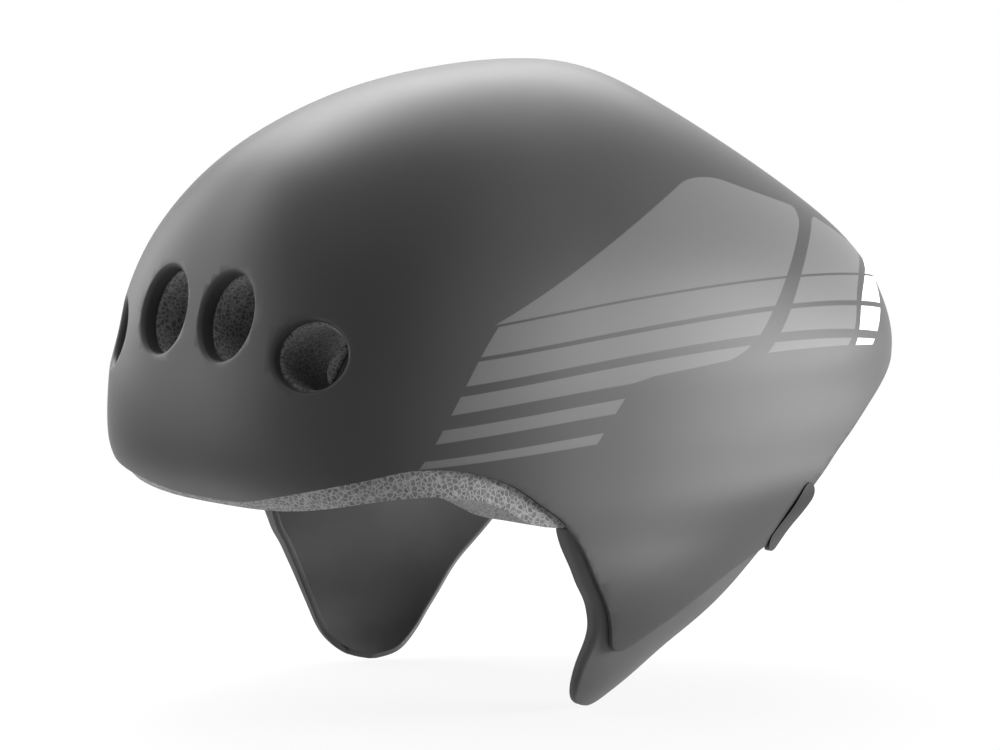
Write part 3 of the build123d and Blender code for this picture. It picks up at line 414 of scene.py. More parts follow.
def shell_graphics(shader, y, z):
    """Masks of the grey panel with its stripes, and of the pale cells at the tail."""
    both = shader.lesser
    step = shader.step
    line_a = curve_sum(y, 64.75, 0.0922, -0.000385, -8.36e-07)
    gap_b_high = curve_sum(y, 53.86, 0.0926, -0.000259, -1.6e-06)
    gap_b_low = curve_sum(y, 52.05, 0.0901, -0.000231, -1.76e-06)
    gap_c_high = curve_sum(y, 43.96, 0.0885, -0.000308, -1.63e-06)
    gap_c_low = curve_sum(y, 40.61, 0.0867, -0.000352, -1.3e-06)
    stripe_d_front = curve_sum(y, 33.48, 0.072, -0.000294)
    stripe_d_rear = curve_sum(y, 34.56, 0.097, -0.000121)
    jog = step(y - 8.0, 11.0)
    stripe_d_low = stripe_d_front + jog * (stripe_d_rear - stripe_d_front)
    stripe_e = curve_sum(y, 28.29, 0.0775, -0.000215), curve_sum(y, 23.06, 0.0692, -0.000241)
    stripe_f = curve_sum(y, 16.6, 0.075, -0.0001), curve_sum(y, 12.69, 0.0648, -0.000061)
    strip_low = curve_sum(y, 35.92, 0.1115, -0.000616)
    left = y - curve_sum(z, -95.1, 0.807, -0.00955, 0.000118)
    slant = (curve_sum(y, 85.9, 0.459, -0.000412, -5.78e-06) - z) * 0.9
    top = (curve_sum(y, 134.5, -0.397, 0.000664) - z) * 0.95
    right = (curve_sum(z, -38.28, 4.125, -0.05083, 0.000275) - y) * 0.85
    cell_left = (y - curve_sum(z, -49.71, 5.605, -0.07905, 0.00044)) * 0.85
    cell_right = (curve_sum(z, -189.7, 18.1, -0.3344, 0.002116) - y) * 0.85
    cell_top = (146.3 - 0.4 * y - z) * 0.93
    pale_left = (y - curve_sum(z, -92.79, 13.75, -0.2716, 0.00186)) * 0.85
    pale_right = both(curve_sum(z, 81.3, 2.607, -0.0158), 187.0) - y
    above_a = z - line_a - 0.45
    below_a = both(line_a - 0.45 - z, z - gap_b_high)
    below_b = both(gap_b_low - z, z - gap_c_high)
    below_c = gap_c_low - z

    def printed(first, edges, *bands):
        """The top field, then bands between the same two edges."""
        total = step(both(first, above_a))
        for band in bands:
            total = total + step(both(band, edges))
        return total

    corner = rounded(shader, rounded(shader, slant, top, 9.0), right, 9.0)
    panel = printed(both(corner, left + 6.0), both(left, right), below_a, below_b)
    stripe_d = rounded(shader, z - stripe_d_low, right, 8.0)
    panel = panel + step(both(both(below_c, stripe_d), left))
    short_end = both(left, 0.83 * z - 24.4 - y)
    for high, low in (stripe_e, stripe_f):
        panel = panel + step(both(both(high - z, z - low), short_end))
    strip = both(below_c, z - strip_low)
    cell = rounded(shader, rounded(shader, cell_top, cell_left, 5.0), cell_right, 8.0)
    tail = printed(cell, both(cell_left, cell_right), below_a, below_b, strip)
    pale_top = both(rounded(shader, cell_top, pale_left, 5.0), 187.0 - y)
    pale = printed(pale_top, both(pale_left, pale_right), below_a, below_b, strip)
    return panel + tail, pale


def shell_paint(settings):
    """Satin paint with the printed panel, stripes and pale cells."""
    shader = Shader("shell_paint", 0.42, specular=0.12)
    _, y, z = shader.place()
    panel, pale = shell_graphics(shader, y, z)
    cloud = shader.noise(0.02, 2.0)
    speck = shader.noise(1.1, 2.0)
    base, ink = settings.shell_grey, settings.panel_grey
    dark = shader.mix(cloud, grey(base * 0.92), grey(base * 1.08))
    paint = shader.mix(panel, dark, shader.mix(speck, grey(ink * 0.96), grey(ink * 1.04)))
    shader.colour(shader.mix(pale, paint, grey(settings.cell_grey)))
    shader.rough(0.38 + 0.06 * cloud + 0.03 * speck + 0.03 * panel)
    shader.bump(speck, 0.00001, 0.4)
    return shader.material


def bead_foam(settings):
    """Expanded foam: small pressed beads, mottled and dark, with pale sunken joints."""
    shader = Shader("bead_foam", 0.75, specular=0.3)
    shader.place()
    cells = {"feature": "DISTANCE_TO_EDGE"}
    joints = shader.add("ShaderNodeTexVoronoi", cells, Vector=shader.points, Scale=0.52)
    beads = shader.add("ShaderNodeTexVoronoi", None, Vector=shader.points, Scale=0.52)
    tone = shader.add("ShaderNodeSeparateColor", None, Color=beads.outputs["Color"])
    joint = shader.step(Value(shader, joints.outputs["Distance"]) - 0.07, 0.2)
    patch = shader.noise(0.9, 3.0, 0.65)
    grain = shader.noise(3.0, 3.0)
    bead = Value(shader, tone.outputs[0]) * 0.35 + (patch - 0.3) * 1.5 + grain * 0.25
    body = shader.mix(bead, grey(settings.foam_grey * 0.25), grey(settings.foam_grey * 1.2))
    shader.colour(shader.mix(joint * 0.75 + 0.25, grey(settings.foam_grey * 2.4), body))
    shader.rough(0.8 - 0.15 * bead)
    shader.bump(joint * 0.5 + patch * 0.5, 0.0004, 0.6)
    return shader.material


def moulded_plastic(name, level, roughness, texture=1.4, depth=0.00002, specular=0.35):
    """Moulded plastic with a fine spark-eroded texture."""
    shader = Shader(name, roughness, specular=specular)
    shader.place()
    fine = shader.noise(texture, 3.0)
    broad = shader.noise(0.06, 2.0)
    shader.colour(shader.mix(broad, grey(level * 0.85), grey(level * 1.15)))
    shader.rough(roughness - 0.05 + 0.1 * fine)
    shader.bump(fine, depth, 0.6)
    return shader.material


def pad_cloth(settings):
    """Brushed pad cloth: short nap over a fine knit."""
    shader = Shader("pad_cloth", 0.9, sheen=0.25)
    x, y, z = shader.place()
    knit = shader.maths("SINE", (x + z) * 3.4) * shader.maths("SINE", (y + z) * 3.4)
    nap = shader.noise(1.8, 4.0)
    blotch = shader.noise(0.12, 2.0)
    tone = nap * 0.7 + blotch * 0.3
    level = settings.pad_grey
    shader.colour(shader.mix(tone, grey(level * 0.6, 1.04), grey(level * 1.5, 1.04)))
    shader.bump(knit * 0.5 + nap, 0.00025, 0.8)
    return shader.material


def hook_tape():
    """Hook tape: rows of tiny hooks."""
    shader = Shader("hook_tape", 0.6)
    shader.place()
    hooks = shader.add("ShaderNodeTexVoronoi", None, Vector=shader.points, Scale=0.8)
    near = Value(shader, hooks.outputs["Distance"])
    # Lighter on the raised hooks and darker in the hollows between them: a painted highlight and
    # painted shade.
    shader.colour(shader.mix(near, grey(0.05), grey(0.012)))
    shader.bump(1.0 - near, 0.0006, 0.9)
    return shader.material


def woven_webbing(settings):
    """Narrow woven webbing with ribs along it and picks across it, on the strap's own map."""
    shader = Shader("woven_webbing", 0.78, sheen=0.15)
    shader.place()
    uv = shader.add("ShaderNodeTexCoord")
    split = shader.add("ShaderNodeSeparateXYZ", None, _0=uv.outputs["UV"])
    across, along = Value(shader, split.outputs[0]), Value(shader, split.outputs[1])
    rib = abs(shader.maths("SINE", across * math.pi * 12.0))
    turn = shader.maths("FLOOR", across * 12.0) * (math.pi / 2)
    pick = abs(shader.maths("SINE", along * 2.2 + turn))
    weave = rib * 0.6 + pick * 0.4
    wear = shader.noise(0.5, 3.0)
    level = settings.webbing_grey
    # The colour follows the weave's relief: painted shade in the grooves between ribs and picks and
    # a painted highlight on their raised tops; the wear noise adds random tone.
    shader.colour(shader.mix(weave * 0.7 + wear * 0.3, grey(level * 0.45), grey(level * 1.5)))
    shader.bump(weave, 0.00035, 0.8)
    return shader.material


def grained(name, shades, rough, grain, relief, **sockets):
    """A finish whose colour, roughness and relief follow one grain."""
    shader = Shader(name, rough[0], **sockets)
    shader.place()
    fine = shader.noise(*grain)
    dark, light = shades
    shader.colour(shader.mix(fine, grey(dark), grey(light)))
    shader.rough(rough[0] + rough[1] * fine)
    shader.bump(fine, *relief)
    return shader.material


def new_piece(name, bm, material, body=None):
    """Makes a finished bmesh an object, which rides on a body if one is named."""
    mesh = bpy.data.meshes.new(name)
    bm.to_mesh(mesh)
    bm.free()
    piece = bpy.data.objects.new(name, mesh)
    bpy.context.scene.collection.objects.link(piece)
    mesh.materials.append(material)
    mesh.shade_smooth()
    if body:
        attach(piece, body)
    return piece


def modify(piece, kind, **settings):
    """Adds a modifier with its settings."""
    modifier = piece.modifiers.new(kind.title(), kind)
    for name, value in settings.items():
        setattr(modifier, name, value)
    return modifier


def walled(thickness, offset):
    """Solidify's settings for an even wall; an offset of -1 puts it all inside."""
    return {"thickness": thickness, "offset": offset, "use_even_offset": True}


def settle(piece):
    """Turns a piece's modifiers into its mesh."""
    graph = bpy.context.evaluated_depsgraph_get()
    mesh = bpy.data.meshes.new_from_object(piece.evaluated_get(graph), depsgraph=graph)
    piece.modifiers.clear()
    old = piece.data
    piece.data = mesh
    bpy.data.meshes.remove(old)
    mesh.name = piece.name


def finish(piece, edge_angle=None):
    """Settles a piece and shades it smooth, or smooth between its edges."""
    settle(piece)
    piece.data.shade_smooth()
    if edge_angle:
        piece.data.set_sharp_from_angle(angle=math.radians(edge_angle))


def drop(piece):
    """Removes a helper object and its mesh."""
    mesh = piece.data
    bpy.data.objects.remove(piece)
    bpy.data.meshes.remove(mesh)


def shaped_grid(columns, rows, place):
    """A grid whose points are moved by place(u, v), both from 0 to 1."""
    bm = bmesh.new()
    bmesh.ops.create_grid(bm, x_segments=columns, y_segments=rows, size=0.5)
    for vert in bm.verts:
        vert.co = place(vert.co.x + 0.5, vert.co.y + 0.5)
    return bm


def head_point(x, y, z, inset, sought):
    """A point on the head space's wall, moved in by an inset; sought is the axis to work out."""
    wide, long, high = (half - inset for half in HEAD_HALF)
    power = 2.2 if y < 0 else 2.0
    if sought == "z":
        low, top = 0.001, 1.0
        for _ in range(24):
            size = (low + top) / 2
            if abs(x / wide / size) ** power + abs(y / long / size) ** 2.2 > 1:
                low = size
            else:
                top = size
        return Vector((x, y, high * math.sqrt(1 - size * size)))
    size = math.sqrt(1 - (max(z, 0) / high) ** 2)
    if sought == "y":
        return Vector((x, -long * size * (1 - abs(x / wide / size) ** 2.2) ** (1 / 2.2), z))
    return Vector((wide * size * (1 - abs(y / long / size) ** 2.2) ** (1 / power), y, z))


def cradle_point(across, up, height):
    """A point over the cradle's left lobe, height millimetres in from the lobe."""
    x, climb = CRADLE_PLACE[0] + across, CRADLE_PLACE[1] + up
    out = math.sqrt((CRADLE_BACK - height) ** 2 - x * x)
    c, s = math.cos(BELT_TILT), math.sin(BELT_TILT)
    return Vector(BELT_CENTRE) + Vector((x, c * out + s * climb, c * climb - s * out))


def pad_outline(turn, half_wide, half_high, squareness):
    """Where a pad's spine is at a place round it, and the way out from there to its outline."""
    reach = min(half_wide, half_high)
    spare = half_wide - reach
    place = turn * (4 * spare + math.tau * reach)
    arc = math.pi * reach
    if place < 2 * spare:
        spine, angle = spare - place, math.pi / 2
    elif place < 2 * spare + arc:
        spine, angle = -spare, math.pi / 2 + (place - 2 * spare) / reach
    elif place < 4 * spare + arc:
        spine, angle = place - arc - 3 * spare, math.pi * 1.5
    else:
        spine, angle = spare, math.pi * 1.5 + (place - arc - 4 * spare) / reach
    c, s = math.cos(angle), math.sin(angle)
    out = math.copysign(abs(c) ** squareness, c), math.copysign(abs(s) ** squareness, s)
    return spine, out[0] * reach, out[1] * reach


def pad_section():
    """From the middle of the face over its crown, round the piped rim and back under it."""
    face = [(0.92 * k / 13, 1.0 - 0.5 * (k / 13) ** 3.4) for k in range(14)]
    angles = [math.radians(115 - k * 26) for k in range(10)]
    bead = [(0.93 + 0.07 * math.cos(a), 0.31 + 0.17 * math.sin(a)) for a in angles]
    back = [(0.84, 0.08), (0.72, 0.0), (0.36, 0.0), (0.0, 0.0)]
    return face + bead + back, len(face) - 1


def pad_mesh(size, put):
    """A pad's closed mesh, with a layer that holds its rim and back while the face swells."""
    section, rim = pad_section()
    bm = bmesh.new()
    held = bm.verts.layers.float.new("held")
    rows = len(section) - 1
    bmesh.ops.create_grid(bm, x_segments=120, y_segments=rows, size=0.5)
    for vert in bm.verts:
        row = round((vert.co.y + 0.5) * rows)
        reach, share = section[row]
        spine, out_x, out_y = pad_outline((vert.co.x + 0.5) % 1.0, *size)
        vert[held] = float(row >= rim)
        vert.co = put(spine + out_x * reach, out_y * reach, share) * MM
    bmesh.ops.remove_doubles(bm, verts=bm.verts, dist=0.00003)
    bmesh.ops.recalc_face_normals(bm, faces=bm.faces)
    return bm


def swell(piece, limit):
    """Swells a pad's face by air pressure; its rim and back are held, and a limit caps it."""
    mesh = piece.data
    start = [vert.co.copy() for vert in mesh.vertices]
    held = [k for k, item in enumerate(mesh.attributes["held"].data) if item.value > 0.5]
    piece.vertex_groups.new(name="held").add(held, 1.0, "REPLACE")
    cloth = modify(piece, "CLOTH")
    cloth.settings.use_pressure = True
    cloth.settings.uniform_pressure_force = 4.0
    cloth.settings.effector_weights.gravity = 0.0
    cloth.settings.vertex_group_mass = "held"
    for tick in range(1, 21):
        bpy.context.scene.frame_set(tick)
    settle(piece)
    bpy.context.scene.frame_set(1)
    for vert, old in zip(piece.data.vertices, start):
        move = vert.co - old
        if move.length > limit:
            vert.co = old + move * (limit / move.length)
    piece.vertex_groups.clear()


def comfort_pad(name, size, put, material, limit, body="helmet"):
    """One comfort pad in the place of its plain solid."""
    piece = new_piece(name + "_cloth", pad_mesh(size, put), material, body)
    swell(piece, limit)
    modify(piece, "SUBSURF", levels=1, render_levels=1)
    finish(piece)
    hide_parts(name)


def strip_mesh(rows, length, place):
    """A strip of webbing, its map running across it from 0 to 1 and along it in millimetres."""
    bm = bmesh.new()
    bmesh.ops.create_grid(bm, x_segments=8, y_segments=rows, size=0.5)
    layer = bm.loops.layers.uv.new("weave")
    for face in bm.faces:
        for loop in face.loops:
            u, v = loop.vert.co.x + 0.5, loop.vert.co.y + 0.5
            loop[layer].uv = (u, v * length)
    for vert in bm.verts:
        vert.co = place(vert.co.x - 0.5, vert.co.y + 0.5) * MM
    bmesh.ops.recalc_face_normals(bm, faces=bm.faces)
    return bm


def side_strap(foot, sign):
    """The strap from a foot up to the fork, where it ends beside the other one."""
    start, way = Vector(foot), Vector(STRAP_FORK) - Vector(foot)
    across = Vector((-way.y, way.x)).normalized() * WEBBING_WIDTH

    def place(u, v):
        near = start + across * u
        stop_y = (STRAP_FORK[0] + sign * STRAP_GAP - near.x) / way.x
        stop_z = (CHIN_FOOT - 2 * STRAP_GAP - near.y) / way.y
        y, z = near + way * (v * min(1.0, stop_y, stop_z))
        return head_point(0, y, z, WEBBING_INSET, "x")

    return strip_mesh(64, way.length, place)


def chin_path():
    """The chin strap's line across the crown and round the buckle's bar, as points (x, z)."""
    high = HEAD_HALF[2] - WEBBING_INSET
    low = math.asin(CHIN_FOOT / high)
    path = []
    for k in range(CHIN_STEPS + 1):
        z = high * math.sin(low + (CHIN_TURN - low) * k / CHIN_STEPS)
        path.append((head_point(0, STRAP_FORK[0], z, WEBBING_INSET, "x").x, z))
    upper, lower, bight = BUCKLE_LOOP
    middle, half = (upper + lower) / 2, (upper - lower) / 2
    path += [(x, upper) for x in BUCKLE_RUNS[0]]
    for k in range(9):
        angle = math.pi * (0.5 + k / 8)
        path.append((bight + half * (1 + math.cos(angle)), middle + half * math.sin(angle)))
    return path + [(x, lower) for x in BUCKLE_RUNS[1]]


def chin_strap():
    """The chin strap's mesh on the left."""
    path = chin_path()
    steps = [0.0]
    for (a, b), (c, d) in zip(path, path[1:]):
        steps.append(steps[-1] + math.hypot(c - a, d - b))
    curve = Curve(path)

    def place(u, v):
        x, z = curve.at(v * (len(path) - 1))
        y = STRAP_FORK[0] + u * WEBBING_WIDTH
        if v * (len(path) - 1) <= CHIN_STEPS:
            return head_point(0, y, z, WEBBING_INSET, "x")
        return Vector((x, y, z))

    return strip_mesh(3 * (len(path) - 1), steps[-1], place)


def form_grid(form, columns, rows, low):
    """The outer surface from a low level up to the apex: columns run round it, rows climb it."""

    def place(u, v):
        point = form.ring_point(1 - abs(2 * u - 1), low + (form.top - low) * v)
        if u > 0.5:
            point.x = -point.x
        return point * MM

    bm = shaped_grid(columns, rows, place)
    bmesh.ops.remove_doubles(bm, verts=bm.verts, dist=0.00002)
    bmesh.ops.recalc_face_normals(bm, faces=bm.faces)
    return bm


def across_at(line, height):
    """Where a side-view line passes a height, or its end nearest to it."""
    for (a, b), (c, d) in zip(line, line[1:]):
        if min(b, d) <= height <= max(b, d) and b != d:
            return a + (c - a) * (height - b) / (d - b)
    return min(line, key=lambda point: abs(point[1] - height))[0]


def flap_mesh(form):
    """The left flap's outer skin; its front edge curls inwards as a flange."""
    front, rear = smooth_line(FLAP_FRONT_SHARES, 16), smooth_line(FLAP_REAR_SHARES, 16)
    tip = front[-1][1]
    columns, flange, curl = 46, 5, 7

    def place(u, v):
        z = FLAP_TOP + (tip - FLAP_TOP) * math.sin(v * FLAP_CLOSE * math.pi / 2)
        near, far = across_at(front, z), across_at(rear, z)
        wide = max(far - near, 0.0)
        fall = (z - FLAP_TOP) / (tip - FLAP_TOP)
        close = min(1.0, max(0.0, (z - tip - FLANGE_END) / FLANGE_RUNOUT))
        share = (1 - FLANGE_FALL * fall) * math.sqrt(max(0.0, 1 - (1 - close) ** 2))
        radius = min(CURL_RADIUS * share, 0.3 * wide)
        depth = min(FLANGE_DEPTH * share, 0.45 * wide)
        k = u * columns
        if k > flange + curl:
            y = near + radius + (wide - radius) * (k - flange - curl) / (columns - flange - curl)
            return Vector((form.side(y, z), y, z)) * MM
        out = form.side(near + radius, z)
        if k < flange:
            return Vector((out - depth + (depth - radius) * k / flange, near, z)) * MM
        angle = (1 - (k - flange) / curl) * math.pi / 2
        x = out - radius * (1 - math.cos(angle))
        return Vector((x, near + radius * (1 - math.sin(angle)), z)) * MM

    bm = shaped_grid(columns, 40, place)
    bmesh.ops.remove_doubles(bm, verts=bm.verts, dist=0.00005)
    if sum(face.normal.x for face in bm.faces) < 0:
        bmesh.ops.reverse_faces(bm, faces=bm.faces)
    return bm


def side_prism(outline, near, far):
    """A prism across the helmet from a side-view outline (y, z), between two places on X."""
    bm = bmesh.new()
    face = bm.faces.new([bm.verts.new(Vector((near, y, z)) * MM) for y, z in outline])
    made = bmesh.ops.extrude_face_region(bm, geom=[face])
    moved = [v for v in made["geom"] if isinstance(v, bmesh.types.BMVert)]
    bmesh.ops.translate(bm, vec=((far - near) * MM, 0, 0), verts=moved)
    bmesh.ops.recalc_face_normals(bm, faces=bm.faces)
    return bm


def tab_outline():
    """The edge tab's notch in the side view: a slot at a slant."""
    length, width = TAB_SIZE
    half = (length - width) / 2
    run, rise = math.cos(TAB_SLANT), math.sin(TAB_SLANT)
    outline = []
    for centre, start in ((half, -90), (-half, 90)):
        for k in range(13):
            a = math.radians(start + k * 15)
            u, v = centre + width / 2 * math.cos(a), width / 2 * math.sin(a)
            outline.append((TAB_CENTRE[0] + u * run - v * rise, TAB_CENTRE[1] + u * rise + v * run))
    return outline


class Vent:
    """One left vent: its point and normal, and how the surface falls away round it."""

    def __init__(self, form, side, height, half_high, half_wide):
        self.half_high, self.half_wide = half_high, half_wide
        gap = 0.5
        points = []
        for dx, dz in ((0, 0), (gap, 0), (-gap, 0), (0, gap), (0, -gap)):
            _, nose, wide, _, width, power, _ = form.level_at(height + dz)
            share = (1 - ((side + dx) / width) ** power) ** (1 / power)
            points.append(Vector((side + dx, wide - (wide - nose) * share, height + dz)))
        self.origin = points[0]
        self.normal = (points[2] - points[1]).cross(points[4] - points[3]).normalized()
        if self.normal.y > 0:
            self.normal.negate()
        self.up = (Vector((0, 0, 1)) - self.normal * self.normal.z).normalized()
        self.across = self.up.cross(self.normal)
        self.falls = [self.fall(form, math.tau * k / 72) for k in range(72)]

    def offset(self, angle, growth):
        u = math.cos(angle) * (self.half_wide + growth)
        v = math.sin(angle) * (self.half_high + growth)
        return self.across * u + self.up * v

    def fall(self, form, angle):
        """How far the surface lies below the vent's plane at the lip."""
        low, high = -14.0, 3.0
        for _ in range(14):
            middle = (low + high) / 2
            point = self.origin + self.offset(angle, VENT_LIP) + self.normal * middle
            if abs(point.x) < form.side(point.y, point.z):
                low = middle
            else:
                high = middle
        return low

    def solid(self, profile):
        """A closed oval solid on the vent's axis from (growth, height, follows the surface)."""
        bm = bmesh.new()
        rings = []
        for growth, height, follow in profile:
            ring = bmesh.ops.create_circle(bm, segments=72, radius=1.0)["verts"]
            for k, vert in enumerate(ring):
                angle = math.tau * k / 72
                rise = self.normal * (height + follow * self.falls[k])
                vert.co = (self.origin + self.offset(angle, growth) + rise) * MM
            rings.append(list({edge for vert in ring for edge in vert.link_edges}))
        for first, second in zip(rings, rings[1:]):
            bmesh.ops.bridge_loops(bm, edges=first + second)
        bmesh.ops.holes_fill(bm, edges=rings[0] + rings[-1])
        bmesh.ops.recalc_face_normals(bm, faces=bm.faces)
        return bm


def carve(piece, operation, tools):
    """Cuts, joins or keeps what is common with each tool in turn."""
    for bm in tools:
        tool = new_piece("tool", bm, piece.data.materials[0])
        modify(piece, "BOOLEAN", operation=operation, object=tool, solver="MANIFOLD")
        settle(piece)
        drop(tool)


def weld_rim(piece, reach=0.00025):
    """Merges the shortest edges that cutting left along sharp rims, so that they take a bevel."""
    bm = bmesh.new()
    bm.from_mesh(piece.data)
    rims = [edge for edge in bm.edges if edge.is_manifold and edge.calc_face_angle() > WELD_ANGLE]
    sharp = {vert for edge in rims for vert in edge.verts}
    bmesh.ops.remove_doubles(bm, verts=list(sharp), dist=reach)
    bmesh.ops.dissolve_degenerate(bm, edges=bm.edges, dist=0.00001)
    bm.to_mesh(piece.data)
    bm.free()


def mirror_copy(bm):
    """A copy of a bmesh on the other side of the helmet."""
    other = bm.copy()
    bmesh.ops.scale(other, vec=(-1, 1, 1), verts=other.verts)
    bmesh.ops.reverse_faces(other, faces=other.faces)
    return other


def number(name, description, default, **limits):
    """A setting that holds one number."""
    return bpy.props.FloatProperty(name=name, description=description, default=default, **limits)


def measure(name, description, default):
    """A setting for a length, whose default is given in millimetres."""
    return number(name, description, default * MM, unit="LENGTH", min=0.0, precision=5)


def shade(name, description, default):
    """A setting from 0 to 1, such as how light a finish is."""
    return number(name, description, default, min=0.0, max=1.0, subtype="FACTOR")


def turned(name, description, default):
    """A setting for an angle, whose default is given in degrees."""
    return number(name, description, math.radians(default), unit="ROTATION")


def lamp_power(name, lamp, default):
    """A setting for a lamp's power in watts."""
    return number(name + " power", "Power of the lamp " + lamp + " in watts", default, unit="POWER")


def studio_floor():
    """Lays the pale floor under the helmet."""
    bm = bmesh.new()
    bmesh.ops.create_circle(bm, cap_ends=True, segments=96, radius=FLOOR_RADIUS)
    bmesh.ops.translate(bm, vec=(0, 0, cad_box[0][2] - FLOOR_GAP), verts=bm.verts)
    shader = Shader("studio_floor", 0.9)
    shader.colour(grey(0.9))
    bright = shader.add("ShaderNodeEmission", None, Color=grey(1.0), Strength=1.0)
    blend = shader.backdrop(FLOOR_BRIGHT, shader.surface.outputs[0], bright.outputs[0])
    shader.feed(shader.output.inputs["Surface"], blend)
    new_piece("studio_floor", bm, shader.material)


def studio_world(scene):
    """Makes a world that lights dimly and looks white."""
    scene.world = bpy.data.worlds.new("studio_world")
    world = Nodes(scene.world)
    ambient, white = (
        world.add("ShaderNodeBackground", None, Color=grey(1.0), Strength=strength).outputs[0]
        for strength in (scene.studio.ambient, 1.0)
    )
    world.add("ShaderNodeOutputWorld", None, Surface=world.backdrop(1.0, ambient, white))


def photo_camera(scene):
    """Sets the camera at the photograph's angle."""
    settings = scene.studio
    az, el = settings.azimuth, settings.elevation
    back = Vector((math.sin(az) * math.cos(el), -math.cos(az) * math.cos(el), math.sin(el)))
    right = Vector((math.cos(az), math.sin(az), 0))
    optics = bpy.data.cameras.new("photo_camera")
    optics.lens = settings.lens
    optics.sensor_width = 36.0
    optics.shift_x, optics.shift_y = CAMERA_SHIFT
    optics.clip_end = 50.0
    camera = bpy.data.objects.new("photo_camera", optics)
    scene.collection.objects.link(camera)
    turn = Matrix((right, back.cross(right), back)).transposed().to_4x4()
    place = Vector(CAMERA_TARGET) + back * settings.distance
    camera.matrix_world = Matrix.Translation(place) @ turn
    scene.camera = camera


def studio_lamp(scene, name, place, size):
    """Adds a soft rectangular lamp that faces the camera's target."""
    light = bpy.data.lights.new(name, "AREA")
    light.shape = "RECTANGLE"
    light.size, light.size_y = size
    light.energy = getattr(scene.studio, name)
    lamp = bpy.data.objects.new(name, light)
    scene.collection.objects.link(lamp)
    lamp.location = place
    way = Vector(CAMERA_TARGET) - Vector(place)
    lamp.rotation_euler = way.to_track_quat("-Z", "Y").to_euler()


class HelmetSettings(bpy.types.PropertyGroup):
    """Sizes and colours of the helmet."""

    shell_wall: measure("Shell wall", "Thickness of the outer shell", 1.8)
    rim_bevel: measure("Rim rounding", "Width of the rounding along the shell's rims", 0.5)
    flap_wall: measure("Flap wall", "Thickness of the ear flaps", 3.0)
    webbing_wall: measure("Webbing thickness", "Thickness of the woven straps", 1.1)
    pad_swell: measure("Pad swell", "The furthest that a pad's face swells", 0.7)
    shell_grey: shade("Shell grey", "How light the satin paint is", 0.05)
    panel_grey: shade("Panel grey", "How light the printed panel and stripes are", 0.12)
    cell_grey: shade("Tail cells", "How light the pale cells at the tail are", 0.85)
    foam_grey: shade("Foam grey", "How light the foam's beads are", 0.17)
    flap_grey: shade("Flap grey", "How light the ear flaps are", 0.075)
    pad_grey: shade("Pad grey", "How light the pad cloth is", 0.04)
    webbing_grey: shade("Webbing grey", "How light the webbing is", 0.03)


class StudioSettings(bpy.types.PropertyGroup):
    """Camera and lamps."""

    azimuth: turned("Azimuth", "Where the camera stands round the helmet", 52.3)
    elevation: turned("Elevation", "How far the camera looks down", 5.3)
    distance: number("Distance", "From the camera to its target", 1.684, unit="LENGTH")
    lens: number("Lens", "Focal length in millimetres on a 36 mm sensor", 150.84, unit="CAMERA")
    far_top: lamp_power("Far top", "beyond the crown", 38.0)
    near_rear: lamp_power("Near rear", "behind the helmet's near side", 64.0)
    low_rear: lamp_power("Low rear", "low behind the near side", 13.0)
    far_nose: lamp_power("Far nose", "beyond the nose", 12.0)
    front: lamp_power("Front", "before the nose", 10.0)
    overhead: lamp_power("Overhead", "above the nose", 7.0)
    ambient: shade("Ambient", "Strength of the light from all round", 0.08)


class HELMET_OT_shell(bpy.types.Operator):
    """Models the painted outer shell with its rolled vents"""

    bl_idname = "helmet.shell"
    bl_label = "Outer shell"

    def execute(self, context):
        settings = context.scene.helmet
        form = OuterForm()
        paint = shell_paint(settings)
        skin = form_grid(form, *SHELL_GRID, SHELL_LOW)
        shell = new_piece("shell", skin, paint, "helmet")
        modify(shell, "SOLIDIFY", use_quality_normals=True, **walled(settings.shell_wall, -1.0))
        settle(shell)
        vents = [Vent(form, *place) for place in VENT_PLACES]
        growth, depth = VENT_COLLAR
        middle = -settings.shell_wall / MM / 2
        collars = [vent.solid(((growth, -depth, 0), (growth, middle, 1))) for vent in vents]
        carve(shell, "UNION", collars + [mirror_copy(collar) for collar in collars])
        flare = [
            (VENT_LIP * (1 - math.cos(a)), LIP_LIFT - VENT_LIP * (1 - math.sin(a)), 1)
            for a in (math.pi * k / 12 for k in range(7))
        ]
        low, high = BORE_REACH
        bores = [vent.solid([(0, low, 0)] + flare + [(VENT_LIP, high, 1)]) for vent in vents]
        bores.append(side_prism(tab_outline(), NOTCH_NEAR, BESIDE))
        carve(shell, "DIFFERENCE", bores + [mirror_copy(bore) for bore in bores])
        edge = smooth_line(SHELL_EDGE_SHARES)
        edge += [(BEHIND, edge[-1][1]), (BEHIND, ABOVE), (BEFORE, ABOVE), (BEFORE, edge[0][1])]
        carve(shell, "INTERSECT", [side_prism(edge, -BESIDE, BESIDE)])
        weld_rim(shell)
        corners = {"limit_method": "ANGLE", "angle_limit": math.radians(RIM_ANGLE)}
        modify(shell, "BEVEL", width=settings.rim_bevel, segments=3, **corners)
        finish(shell, EDGE_ANGLE)
        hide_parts("outer_shell")
        return {"FINISHED"}


class HELMET_OT_foam(bpy.types.Operator):
    """Gives the foam liner its bead finish"""

    bl_idname = "helmet.foam"
    bl_label = "Foam liner"

    def execute(self, context):
        dress(bead_foam(context.scene.helmet), "foam_liner")
        return {"FINISHED"}


